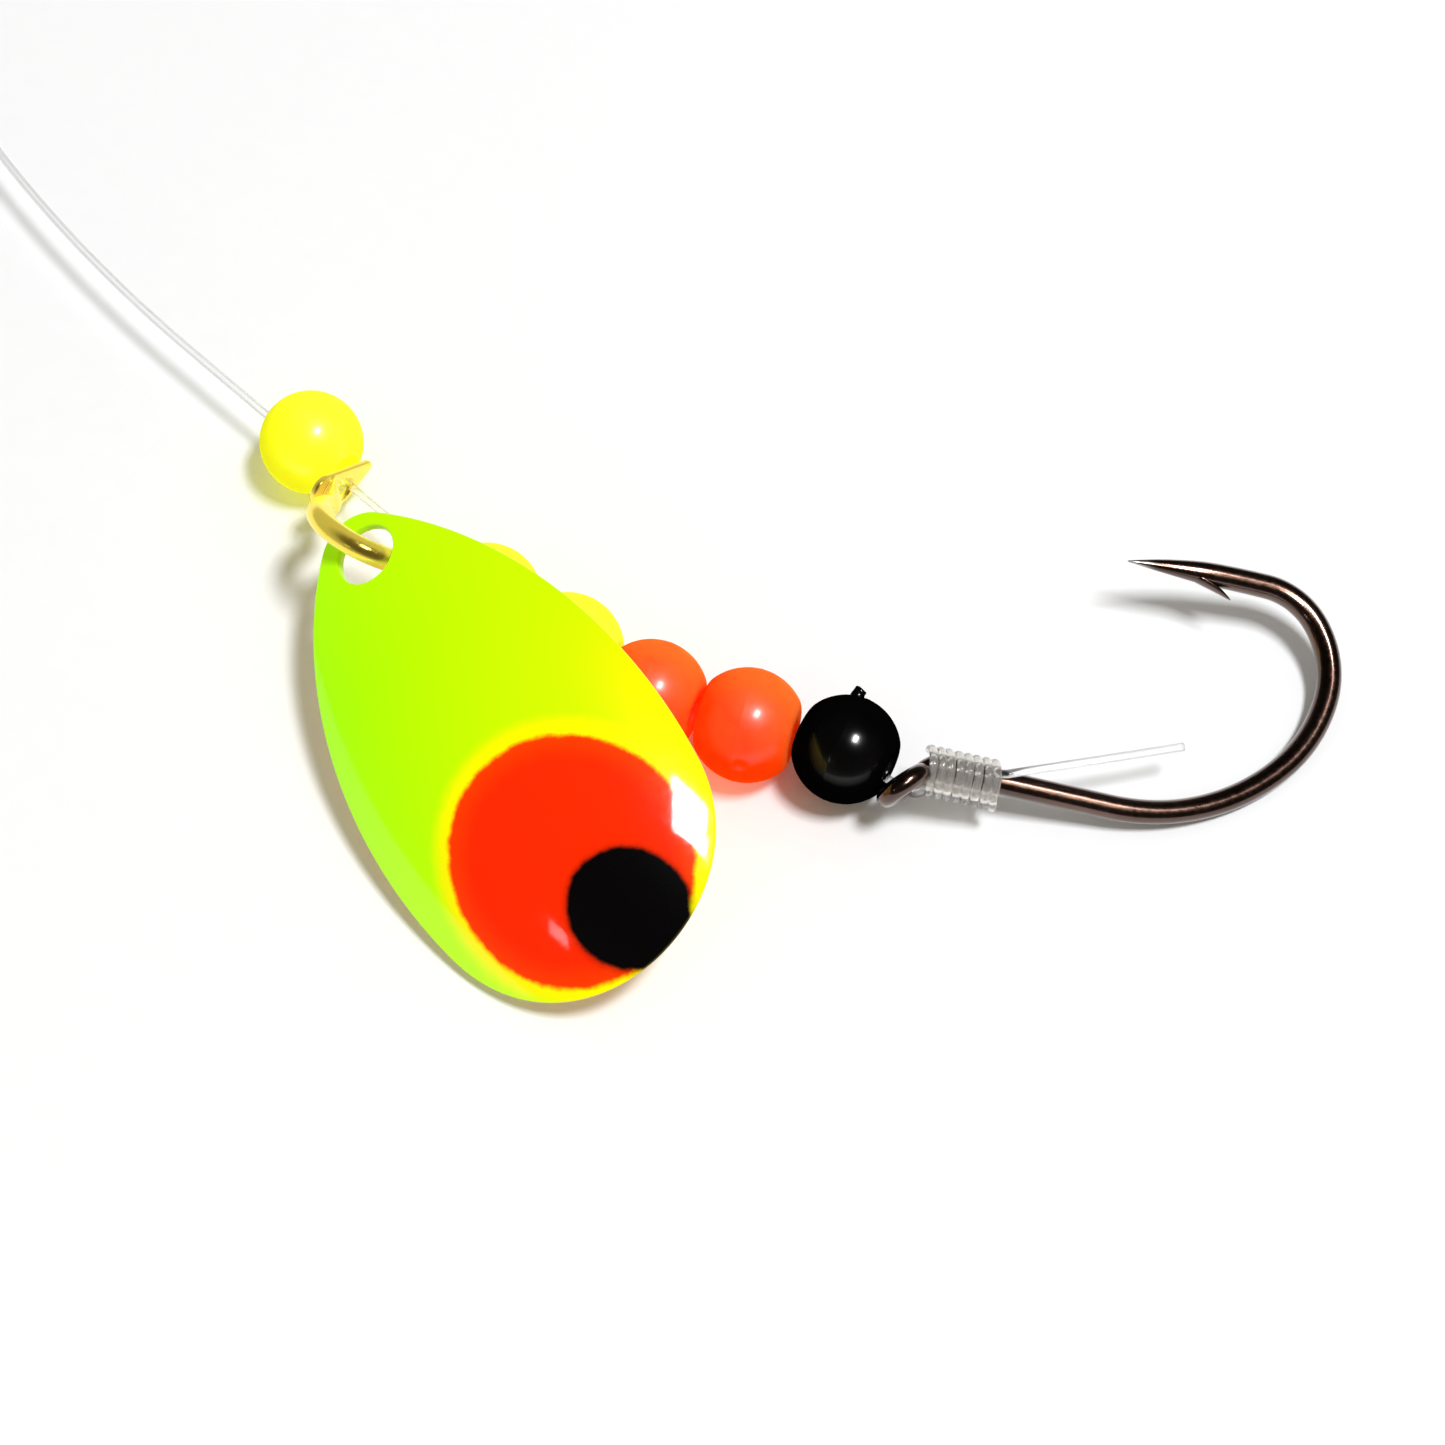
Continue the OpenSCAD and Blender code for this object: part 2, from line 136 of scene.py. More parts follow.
def grid_faces(rows, columns, closed):
    """Quads between rows of points; each row is a loop, and closed joins last row to first."""
    faces = []
    for i in range(rows if closed else rows - 1):
        here, after = i * columns, (i + 1) % rows * columns
        for j in range(columns):
            k = (j + 1) % columns
            faces.append((here + j, here + k, after + k, after + j))
    return faces


def sweep(name, path, up_radius, side_radius=None, *, sides, up=(0, 0, 1)):
    """Capped tube with one half-width along the carried up direction and one across it.

    The attribute "run" holds the length run along the path."""
    path = np.asarray(path, float)
    count = len(path)
    up_radius = np.broadcast_to(np.asarray(up_radius, float), (count,))
    side_radius = (up_radius if side_radius is None
                   else np.broadcast_to(np.asarray(side_radius, float), (count,)))
    tangents = np.gradient(path, axis=0)
    tangents /= np.linalg.norm(tangents, axis=1)[:, None]
    ups = np.zeros_like(path)
    carried = np.array(up, float)
    for i in range(count):
        carried = carried - (carried @ tangents[i]) * tangents[i]
        carried /= np.linalg.norm(carried)
        ups[i] = carried
    across = np.cross(tangents, ups)
    angles = np.linspace(0, 2 * pi, sides, endpoint=False)
    rings = (np.cos(angles)[None, :, None] * ups[:, None, :] * up_radius[:, None, None]
             + np.sin(angles)[None, :, None] * across[:, None, :] * side_radius[:, None, None])
    verts = (path[:, None, :] + rings).reshape(-1, 3)
    faces = grid_faces(count, sides, closed=False)
    start_cap, last_ring = len(verts), (count - 1) * sides
    verts = np.vstack([verts, path[:1], path[-1:]])
    for j in range(sides):
        k = (j + 1) % sides
        faces.append((start_cap, k, j))
        faces.append((start_cap + 1, last_ring + j, last_ring + k))
    piece = new_object(name, verts, faces)
    run = distances(path)
    add_attribute(piece, "run", np.concatenate([np.repeat(run, sides), [run[0], run[-1]]]))
    return piece


def rounded_ends(path, radius):
    """Adds near-hemispherical ends to a path; returns the path and its radii."""
    angles = np.linspace(0, pi / 2 * 0.97, 5)[1:]

    def cap(tip, inner):
        outward = tip - inner
        outward /= np.linalg.norm(outward)
        return [tip + outward * radius * sin(a) for a in angles]

    radii = [radius * cos(a) for a in angles]
    points = cap(path[0], path[1])[::-1] + list(path) + cap(path[-1], path[-2])
    return np.array(points), np.array(radii[::-1] + [radius] * len(path) + radii)


def lathe(name, profile, sides):
    """Ring-shaped solid: a closed loop of (x, radius) turned about X."""
    loop = np.array(profile, float)
    count = len(loop)
    angles = np.linspace(0, 2 * pi, sides, endpoint=False)
    verts = np.stack([np.repeat(loop[:, 0][None], sides, 0),
                      np.cos(angles)[:, None] * loop[:, 1][None],
                      np.sin(angles)[:, None] * loop[:, 1][None]], 2).reshape(-1, 3)
    faces = []
    for i in range(sides):
        here, after = i * count, (i + 1) % sides * count
        for j in range(count):
            k = (j + 1) % count
            faces.append((here + j, after + j, after + k, here + k))
    return new_object(name, verts, faces)


def fix_normals(piece):
    work = bmesh.new()
    work.from_mesh(piece.data)
    bmesh.ops.recalc_face_normals(work, faces=work.faces)
    work.to_mesh(piece.data)
    work.free()
    piece.data.update()


def to_metres(piece, place=Matrix.Identity(4)):
    """Places a piece in the row frame and scales its mesh to metres."""
    piece.data.transform(Matrix.Scale(MM, 4) @ place)
    piece.data.update()


def set_material(piece, material):
    piece.data.materials.clear()
    piece.data.materials.append(material)


def dress(piece, material, part, slot, *replaced):
    """Gives a placed piece its material and ties it to its CAD part."""
    set_material(piece, material)
    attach(piece, part)
    if replaced:
        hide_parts(*replaced)


def finish_piece(piece, place, *dressing):
    fix_normals(piece)
    to_metres(piece, place)
    dress(piece, *dressing)


# ---------------------------------------------------------------- shader node helpers
class Nodes:
    """Builds the node tree of a material or a world. Colours are (r, g, b)."""

    def __init__(self, owner, output):
        owner.use_nodes = True
        self.tree = owner.node_tree
        self.tree.nodes.clear()
        self.output = self.node(output)

    def node(self, kind, inputs=None, **settings):
        node = self.tree.nodes.new("ShaderNode" + kind)
        for key, value in settings.items():
            setattr(node, key, value)
        for key, value in (inputs or {}).items():
            self.feed(node.inputs[key], value)
        return node

    def feed(self, socket, value):
        """Links a socket to an output, or sets its value."""
        if isinstance(value, bpy.types.NodeSocket):
            self.tree.links.new(value, socket)
        else:
            socket.default_value = (*value, 1.0) if socket.type == "RGBA" else value

    def surface(self, shader):
        self.feed(self.output.inputs["Surface"], shader)

    def math(self, operation, *values, clamp=False):
        return self.node("Math", dict(enumerate(values)), operation=operation,
                         use_clamp=clamp).outputs[0]

    def times(self, value, factor):
        return self.math("MULTIPLY", value, factor)

    def ramp(self, value, stops):
        """Colour ramp from (position, colour) stops."""
        ramp = self.node("ValToRGB", {"Fac": value})
        elements = ramp.color_ramp.elements
        while len(elements) < len(stops):
            elements.new(0.5)
        for element, (position, colour) in zip(elements, stops):
            element.position = position
            element.color = (*colour, 1.0)
        return ramp.outputs["Color"]

    def mix_shader(self, share, under, over):
        return self.node("MixShader", {0: share, 1: under, 2: over}).outputs[0]


class Material(Nodes):
    def __init__(self, name):
        self.material = bpy.data.materials.new(name)
        super().__init__(self.material, "OutputMaterial")

    def finish(self, shader):
        self.surface(shader)
        return self.material

    def principled(self, **inputs):
        """Principled shader; underscores in the input names stand for spaces."""
        inputs = {key.replace("_", " "): value for key, value in inputs.items()}
        return self.node("BsdfPrincipled", inputs).outputs[0]

    def attribute(self, name):
        return self.node("Attribute", attribute_type="GEOMETRY",
                         attribute_name=name).outputs["Fac"]

    def coords(self):
        return self.node("TexCoord").outputs["Object"]

    def facing(self):
        return self.node("LayerWeight", {"Blend": 0.5}).outputs["Facing"]

    def noise(self, coords, scale, detail=3.0, roughness=0.5):
        return self.node("TexNoise", {"Vector": coords, "Scale": scale, "Detail": detail,
                                      "Roughness": roughness}).outputs["Fac"]

    def mix(self, share, under, over):
        return self.node("Mix", {0: share, 6: under, 7: over}, data_type="RGBA").outputs[2]

    def map_range(self, value, span, to, **settings):
        inputs = {"Value": value, "From Min": span[0], "From Max": span[1],
                  "To Min": to[0], "To Max": to[1]}
        return self.node("MapRange", inputs, **settings).outputs["Result"]

    def vary(self, noise, low, high):
        """Stretches the middle of a noise over low to high."""
        return self.map_range(noise, span=(0.3, 0.7), to=(low, high))

    def rise(self, value, start, end, top=1.0):
        return self.map_range(value, (start, end), (0.0, top), interpolation_type="SMOOTHSTEP")

    def fade(self, value, start, end, top=1.0):
        return self.map_range(value, (start, end), (top, 0.0), interpolation_type="SMOOTHSTEP")

    def facing_level(self, near, level):
        """Specular level that fades towards the limb, so the silhouette keeps its colour."""
        return self.fade(self.facing(), start=near, end=near + 0.22, top=level)

    def bump(self, height, strength, distance):
        return self.node("Bump", {"Strength": strength, "Distance": distance,
                                  "Height": height}).outputs["Normal"]

    def shadow_mix(self, shader, tint, share):
        """Lets a share of the light through in shadow rays, tinted."""
        light_path = self.node("LightPath")
        clear = self.node("BsdfTransparent", {"Color": tint}).outputs[0]
        return self.mix_shader(self.times(light_path.outputs["Is Shadow Ray"], share),
                               shader, clear)


def srgb(*channels):
    """Linear colour from 0-255 sRGB channels."""
    shares = [channel / 255 for channel in channels]
    return tuple(c / 12.92 if c <= 0.04045 else ((c + 0.055) / 1.055) ** 2.4 for c in shares)


# ---------------------------------------------------------------- materials
# Blade paint: colours, and the spots' centres and radii in the blade's own frame, mm
LIME = srgb(172, 255, 0)
YELLOW = srgb(255, 255, 0)
YELLOW_HALO = srgb(255, 236, 0)
ORANGE_INSIDE = (1.0, 0.020, 0.0)
ORANGE_OUTSIDE = (1.0, 0.042, 0.0)
BLACK_HAZE = (0.10, 0.012, 0.0)
SPOT_BLACK = (0.0015, 0.0012, 0.0012)
ORANGE_CENTRE, ORANGE_RADIUS = (18.2, 0.10), 5.42
BLACK_CENTRE, BLACK_RADIUS = (21.41, 0.97), 2.60
SPOT_STRETCH = 1.0      # 1 keeps the spots round
NOISE_MEAN = 0.5


def line_material():
    mat = Material("clear_monofilament")
    streak = mat.noise(mat.coords(), scale=900.0, detail=2.0)
    plastic = mat.principled(
        Base_Color=(0.985, 0.99, 0.988), Roughness=mat.vary(streak, low=0.03, high=0.10),
        IOR=1.53, Transmission_Weight=1.0,
        Normal=mat.bump(streak, strength=0.06, distance=0.00002))
    clear = mat.node("BsdfTransparent").outputs[0]
    shader = mat.mix_shader(share=0.42, under=plastic, over=clear)
    return mat.finish(mat.shadow_mix(shader, tint=(0.95, 0.95, 0.92), share=0.10))


def snell_material():
    mat = Material("snell_monofilament")
    streak = mat.noise(mat.coords(), scale=1400.0, detail=2.0)
    plastic = mat.principled(
        Base_Color=(0.97, 0.945, 0.90), Roughness=mat.vary(streak, low=0.05, high=0.16),
        IOR=1.53, Transmission_Weight=0.86,
        Normal=mat.bump(streak, strength=0.08, distance=0.00002))
    return mat.finish(mat.shadow_mix(plastic, tint=(0.92, 0.91, 0.88), share=0.36))


def bead_material(name, base, painted_shade, painted_glow, tint, share, coat_roughness, haze=0.30):
    """Translucent plastic: base colour painted on the side towards a fixed light direction,
    painted shade colour away from it, tinted shadows.
    """
    mat = Material(name)
    coords = mat.coords()
    cloud = mat.noise(coords, scale=420.0, roughness=0.6)
    normal = mat.node("NewGeometry").outputs["Normal"]
    # painted light and shade: colour is painted lighter on the side turned towards this fixed
    # light direction and darker away from it, mottled at random by the noise
    towards_light = (0.25, 0.75, 0.61)
    dot = mat.node("VectorMath", {0: normal, 1: towards_light}, operation="DOT_PRODUCT")
    lit = mat.math("ADD", mat.rise(dot.outputs["Value"], start=-0.25, end=1.0, top=0.85),
                   mat.map_range(cloud, span=(0.35, 0.7), to=(-0.12, 0.15)), clamp=True)
    colour = mat.mix(lit, painted_shade, base)
    pits = mat.noise(coords, scale=2600.0, detail=2.0)
    level = mat.facing_level(near=0.12, level=0.5)
    # painted glow: the emission stands in partly for the plastic's fluorescence and partly for
    # light on its shaded side
    plastic = mat.principled(
        Base_Color=colour, Roughness=mat.vary(cloud, low=haze, high=haze + 0.08), IOR=1.49,
        Specular_IOR_Level=level, Subsurface_Weight=1.0, Subsurface_Radius=(1.0, 0.8, 0.35),
        Subsurface_Scale=0.0016, Coat_Weight=mat.times(level, factor=0.8),
        Coat_Roughness=coat_roughness, Emission_Color=painted_glow, Emission_Strength=1.0,
        Normal=mat.bump(pits, strength=0.10, distance=0.00002))
    return mat.finish(mat.shadow_mix(plastic, tint, share))


def black_bead_material():
    mat = Material("black_bead_plastic")
    coords = mat.coords()
    cloud = mat.noise(coords, scale=500.0)
    pits = mat.noise(coords, scale=3200.0, detail=2.0)
    level = mat.facing_level(near=0.07, level=0.42)
    return mat.finish(mat.principled(
        Base_Color=mat.mix(cloud, under=(0.0006, 0.0005, 0.0005), over=(0.0020, 0.0018, 0.0018)),
        Roughness=mat.vary(cloud, low=0.14, high=0.24), IOR=1.45, Specular_IOR_Level=level,
        Coat_Weight=mat.times(level, factor=0.8), Coat_Roughness=0.07,
        Normal=mat.bump(pits, strength=0.12, distance=0.00002)))


def brass_material():
    mat = Material("plated_brass")
    coords = mat.coords()
    broad = mat.noise(coords, scale=700.0)
    fine = mat.noise(coords, scale=5000.0)
    plating = mat.mix(broad, under=(0.76, 0.57, 0.056), over=(0.85, 0.69, 0.10))
    # painted reflection: the emission paints a pale room mirrored in the plating, and the colour
    # is painted dark where the wire is seen straight on
    facing = mat.facing()
    room = mat.ramp(facing, stops=[
        (0.0, (0.0, 0.0, 0.0)), (0.07, (0.03, 0.02, 0.0)), (0.20, (0.30, 0.235, 0.028)),
        (0.62, (0.34, 0.265, 0.040)), (1.0, (0.22, 0.14, 0.016))])
    # painted dark reflection on the part of the wire that faces the camera
    colour = mat.mix(mat.fade(facing, start=0.02, end=0.13, top=0.80),
                     plating, over=(0.19, 0.105, 0.012))
    return mat.finish(mat.principled(
        Base_Color=colour, Metallic=0.68, Roughness=mat.vary(fine, low=0.12, high=0.26),
        Emission_Color=room, Emission_Strength=1.0,
        Normal=mat.bump(fine, strength=0.10, distance=0.00003)))


def hook_material():
    mat = Material("black_nickel_hook")
    coords = mat.coords()
    broad = mat.noise(coords, scale=260.0, detail=4.0, roughness=0.6)
    fine = mat.noise(coords, scale=4200.0, roughness=0.6)
    nickel = mat.mix(mat.map_range(broad, span=(0.35, 0.7), to=(0.0, 1.0)),
                     under=(0.072, 0.038, 0.028), over=(0.140, 0.082, 0.060))
    # bright ground tip
    tip = mat.fade(mat.attribute("to_tip"), start=0.25, end=1.5)
    return mat.finish(mat.principled(
        Base_Color=mat.mix(tip, nickel, over=(0.55, 0.52, 0.48)), Metallic=1.0,
        Roughness=mat.vary(fine, low=0.15, high=0.27), Coat_Weight=0.85, Coat_Roughness=0.10,
        Normal=mat.bump(fine, strength=0.12, distance=0.00003)))


def blade_colour(mat, wobble):
    """Lime ground turning yellow, an orange spot with a halo, and a black spot in it."""
    x, y = mat.attribute("bx"), mat.attribute("by")

    def distance_to(centre):
        offsets = [mat.times(mat.math("SUBTRACT", value, middle), SPOT_STRETCH)
                   for value, middle in zip((x, y), centre)]
        squares = [mat.math("MULTIPLY", offset, offset) for offset in offsets]
        return mat.math("SQRT", mat.math("ADD", *squares))

    jitter = mat.times(mat.math("SUBTRACT", wobble, NOISE_MEAN), factor=0.34)
    to_orange = mat.math("ADD", distance_to(ORANGE_CENTRE), jitter)
    to_black = mat.math("ADD", distance_to(BLACK_CENTRE), mat.times(jitter, factor=0.8))
    # yellower towards +X and +Y, most of all at the +Y rim
    yellow = mat.math("ADD", mat.map_range(y, span=(-5.0, 7.4), to=(0.0, 0.22)),
                      mat.map_range(x, span=(6.0, 24.0), to=(0.0, 0.26)))
    rim = mat.math("MULTIPLY", mat.rise(y, start=4.0, end=7.6, top=0.5),
                   mat.rise(x, start=8.0, end=17.0))
    base = mat.mix(mat.math("ADD", yellow, rim, clamp=True), LIME, YELLOW)
    halo = mat.fade(to_orange, start=ORANGE_RADIUS + 0.10, end=ORANGE_RADIUS + 1.15)
    base = mat.mix(mat.times(halo, factor=0.9), base, YELLOW_HALO)
    spot = mat.fade(to_orange, start=ORANGE_RADIUS - 0.16, end=ORANGE_RADIUS + 0.16)
    outer = mat.rise(to_orange, start=ORANGE_RADIUS - 1.3, end=ORANGE_RADIUS + 0.1)
    base = mat.mix(spot, base, mat.mix(outer, ORANGE_INSIDE, ORANGE_OUTSIDE))
    haze = mat.fade(to_black, start=BLACK_RADIUS - 0.1, end=BLACK_RADIUS + 0.45, top=0.55)
    base = mat.mix(haze, base, BLACK_HAZE)
    black = mat.fade(to_black, start=BLACK_RADIUS - 0.14, end=BLACK_RADIUS + 0.10)
    base = mat.mix(black, base, SPOT_BLACK)
    # painted shade darkens the rounded rim
    painted_rim_shade = mat.times(mat.attribute("edge"), factor=0.32)
    return mat.mix(painted_rim_shade, base, over=(0.25, 0.20, 0.02))


def blade_material():
    """Lacquer where the attribute "side" is 1, bare plating where it is 0."""
    mat = Material("painted_blade")
    coords = mat.coords()
    wobble = mat.noise(coords, scale=1500.0, detail=4.0, roughness=0.65)
    fine = mat.noise(coords, scale=6500.0)
    colour = blade_colour(mat, wobble)
    ripple = mat.noise(coords, scale=1100.0, roughness=0.6)
    # painted glow: the lacquer emits its own colour, standing in partly for its fluorescence and
    # partly for light on its shaded side
    paint = mat.principled(
        Base_Color=colour, Roughness=mat.vary(fine, low=0.30, high=0.36), IOR=1.48,
        Coat_Weight=0.75, Coat_Roughness=mat.vary(wobble, low=0.045, high=0.09),
        Specular_IOR_Level=0.02, Emission_Color=colour, Emission_Strength=0.22,
        Coat_Normal=mat.bump(ripple, strength=0.10, distance=0.00005),
        Normal=mat.bump(fine, strength=0.05, distance=0.00002))
    # painted reflection: the bare plating's emission paints a dim room mirrored in it, set by the
    # angle to the camera
    room = mat.ramp(mat.facing(), stops=[
        (0.0, (0.10, 0.072, 0.018)), (0.35, (0.26, 0.20, 0.060)), (1.0, (0.16, 0.11, 0.030))])
    plating = mat.principled(
        Base_Color=mat.mix(wobble, under=(0.78, 0.60, 0.22), over=(0.88, 0.72, 0.33)),
        Metallic=0.75, Roughness=mat.vary(wobble, low=0.16, high=0.3),
        Emission_Color=room, Emission_Strength=1.0,
        Normal=mat.bump(fine, strength=0.03, distance=0.00002))
    return mat.finish(mat.mix_shader(mat.attribute("side"), plating, paint))


def floor_material():
    mat = Material("pale_floor")
    grain = mat.noise(mat.coords(), scale=900.0, detail=4.0)
    return mat.finish(mat.principled(
        Base_Color=mat.mix(grain, under=(0.90, 0.905, 0.905), over=(0.93, 0.93, 0.93)),
        Roughness=0.75, Specular_IOR_Level=0.15,
        Normal=mat.bump(grain, strength=0.03, distance=0.00004)))


MATERIALS = {
    "line": line_material(),
    "snell": snell_material(),
    "chartreuse_bead": bead_material(
        "chartreuse_bead_plastic", base=(0.99, 1.0, 0.030), painted_shade=(0.94, 0.97, 0.003),
        painted_glow=(0.22, 0.23, 0.010), tint=(1.0, 0.965, 0.06), share=0.46, coat_roughness=0.07),
    "orange_bead": bead_material(
        "orange_bead_plastic", base=(1.0, 0.150, 0.022), painted_shade=(1.0, 0.040, 0.001),
        painted_glow=(0.20, 0.008, 0.0), tint=(1.0, 0.68, 0.58), share=0.60, coat_roughness=0.17,
        haze=0.36),
    "black_bead": black_bead_material(),
    "brass": brass_material(),
    "hook": hook_material(),
    "blade": blade_material(),
}

# ---------------------------------------------------------------- layout of the row
LINE_RADIUS = 0.20
LINE_GAP = 0.02             # air between the line and whatever it lies against

# The leader's runs in order; arcs are (length, curvature)
TAIL_LENGTH = 12.0
LONG_ARC = (18.15, 1 / 92.5)
FRONT_LENGTH = 11.56
CLEVIS_LENGTH = 7.74
BODY_ARC = (17.21, 1 / 33.2)
EYE_ARC = (6.446, -1 / 13.0)

# Pose (x, y, heading) where each run starts
END_POSE = (0.0, 0.0, radians(-17.688361))
TAIL_POSE = advance(END_POSE, TAIL_LENGTH)
FRONT_POSE = advance(TAIL_POSE, *LONG_ARC)
CLEVIS_POSE = advance(FRONT_POSE, FRONT_LENGTH)
BODY_POSE = advance(CLEVIS_POSE, CLEVIS_LENGTH)
TURN_POSE = advance(BODY_POSE, *BODY_ARC)

# Where the clevis's spin axis meets its first ear
EAR_PLACE = Matrix.Translation((CLEVIS_POSE[0], CLEVIS_POSE[1] - 0.38, 0.0))
CLEVIS_PLACE = EAR_PLACE @ rotation(132.6, 0, 0)
BLADE_PLACE = (EAR_PLACE @ Matrix.Translation((4.715, -3.377, 2.68))
               @ rotation(26.63, 4.45, -19.08) @ Matrix.Translation((0.269, 0, 0.054)))
HOOK_PLACE = (EAR_PLACE @ Matrix.Translation((34.1335, 5.9692, -0.45))
              @ rotation(13.57, 11.217, 30.35))

# Hook, in its own frame: wire in the XY plane, shank nearly along X, eye at its -X end
WIRE_RADIUS = 0.575
EYE_WIRE_RADIUS = 0.475
EYE_RADIUS = 0.97
EYE_CENTRE = np.array([-4.34, -0.78, 0.0])
EYE_TILT = radians(43.6)
EYE_ACROSS = np.array([cos(EYE_TILT), sin(EYE_TILT), 0.0])
SHANK_POSE = (-3.40, 0.317, radians(-0.92))
SHANK_LENGTH = 8.53
LINE_Y = -(WIRE_RADIUS + LINE_RADIUS + LINE_GAP)    # the line under the shank, from its axis


def shank_y(x):
    return SHANK_POSE[1] + (x - SHANK_POSE[0]) * np.tan(SHANK_POSE[2])


def pose_at(station):
    """Pose on the leader at a length past the start of the clevis run."""
    if station <= CLEVIS_LENGTH:
        return advance(CLEVIS_POSE, station)
    station -= CLEVIS_LENGTH
    if station <= BODY_ARC[0]:
        return advance(BODY_POSE, station, BODY_ARC[1])
    return advance(TURN_POSE, station - BODY_ARC[0], EYE_ARC[1])


# ---------------------------------------------------------------- leader
IN_BEAD = 1.71      # the two pieces meet this far along the body arc, inside a bead
SPLIT_POSE = advance(BODY_POSE, IN_BEAD, BODY_ARC[1])


def run_points(pose, length, curvature, spacing, last=False):
    count = max(1, int(round(length / spacing)))
    return [flat_point(advance(pose, length * i / count, curvature))
            for i in range(count + (1 if last else 0))]


def leader_piece(name, points, replaced):
    """One leader piece in the line material; hides the CAD parts it replaces."""
    piece = sweep(name, points, LINE_RADIUS, sides=20)
    to_metres(piece)
    set_material(piece, MATERIALS["line"])
    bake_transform(piece)
    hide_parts(*replaced)


def make_leader():
    front = (run_points(END_POSE, TAIL_LENGTH, 0, spacing=0.5)
             + run_points(TAIL_POSE, *LONG_ARC, spacing=0.4)
             + run_points(FRONT_POSE, FRONT_LENGTH + CLEVIS_LENGTH, 0, spacing=0.6)
             + run_points(BODY_POSE, IN_BEAD + 0.02, BODY_ARC[1], spacing=0.3, last=True))
    leader_piece("leader_line_front", front,
                 replaced=("leader_tail",))

    rear = (run_points(SPLIT_POSE, BODY_ARC[0] - IN_BEAD, BODY_ARC[1], spacing=0.45)
            + run_points(TURN_POSE, EYE_ARC[0] - 0.35, EYE_ARC[1], spacing=0.3))
    # through the eye, then along the shank under the wraps
    through = np.array([0.69, -0.72, 0.0])
    shank_start = -3.10
    entry = EYE_CENTRE + 0.25 * through
    landing = np.array([shank_start, shank_y(shank_start) + LINE_Y - 0.02, 0.0])
    on_hook = [bezier(entry, EYE_CENTRE + 0.80 * through, landing, t)
               for t in np.linspace(0.0, 1.0, 8, endpoint=False)]
    on_hook += [(x, shank_y(x) + LINE_Y, 0.0) for x in np.linspace(shank_start, -0.20, 9)]
    rear += [np.array(HOOK_PLACE @ Vector(point)) for point in on_hook]
    leader_piece("leader_line_rear", resample(rear, 0.22),
                 replaced=("leader", "snell_line"))


# ---------------------------------------------------------------- beads
BORE_RADIUS = 0.70
MOUTH_ROUND = 0.20          # rounding of the bore's mouths
MOUTH_INSET = 0.02
SHOULDER = 0.22             # rounding where ball meets flat
SEAM_HEIGHT = 0.012
BEAD_SIDES = 128
BLACK_STATION, BLACK_OFFSET = 28.14, 0.24

# part, slot, diameter, length, station on the leader, sideways offset,
# dimple (direction, radius, depth, rim height) or None
BEADS = [
    ("head_bead", "chartreuse_bead", 5.0, 4.7, -3.10, 0.42,
     ((0.35, 0.75, 0.56), 0.42, 0.10, 0.03)),
    ("chartreuse_bead_front", "chartreuse_bead", 5.3, 4.4, 9.45, 0.03, None),
    ("chartreuse_bead_rear", "chartreuse_bead", 5.3, 4.4, 14.20, 0.15, None),
    ("orange_bead_front", "orange_bead", 5.3, 4.4, 18.86, -0.20, None),
    ("orange_bead_rear", "orange_bead", 5.3, 4.4, 23.52, -0.05,
     ((0.1, -0.75, 0.2), 0.45, 0.07, 0.02)),
    ("black_bead", "black_bead", 5.0, 4.4, BLACK_STATION, BLACK_OFFSET, None),
]
# Sprue stub of the black bead: x, height over the bead's surface station, radius
STUB_BASE = 2.42
STUB = [(0, -0.45, 0.30), (0, -0.2, 0.31), (0, 0.0, 0.34), (0, 0.10, 0.31),
        (0.01, 0.20, 0.29), (0.03, 0.30, 0.30), (0.04, 0.37, 0.27), (0.05, 0.40, 0.15)]


def bead_profile(diameter, length):
    """Closed (x, radius) loop: bore mouths, flats with soft shoulders, ball and bore."""
    radius, half = diameter / 2, length / 2
    flat_radius = sqrt(radius * radius - half * half)
    mouth_x = half - MOUTH_ROUND - MOUTH_INSET
    mouth_radius = BORE_RADIUS + MOUTH_ROUND
    end = [(mouth_x + MOUTH_ROUND * sin(a), mouth_radius - MOUTH_ROUND * cos(a))
           for a in np.linspace(0, pi / 2, 7)]
    ball_angle = atan2(flat_radius, half) + 0.10
    flat_start = np.array([half, max(mouth_radius + 0.05, flat_radius - SHOULDER)])
    corner = np.array([half, flat_radius - 0.02])
    ball_start = np.array([radius * cos(ball_angle), radius * sin(ball_angle)])
    end += [tuple(bezier(flat_start, corner, ball_start, t)) for t in np.linspace(0, 1, 8)]
    ball = [(radius * cos(a), radius * sin(a))
            for a in np.linspace(ball_angle, pi - ball_angle, 64)[1:-1]]
    other_end = [(-x, y) for x, y in reversed(end)]
    bore = [(x, BORE_RADIUS) for x in np.linspace(-mouth_x, mouth_x, 8)[1:-1]]
    return end + ball + other_end + bore


def read_points(piece):
    return np.array([v.co for v in piece.data.vertices])


def write_points(piece, points):
    piece.data.vertices.foreach_set("co", points.astype(np.float32).ravel())
    piece.data.update()


def raise_seam(piece, radius):
    """Faint moulding seam round the middle of the ball."""
    points = read_points(piece)
    from_axis = np.hypot(points[:, 1], points[:, 2])
    lift = np.exp(-(points[:, 0] / 0.05) ** 2) * (from_axis > radius * 0.9) * SEAM_HEIGHT
    points[:, 1:] *= (1 + lift / np.maximum(from_axis, 1e-6))[:, None]
    write_points(piece, points)


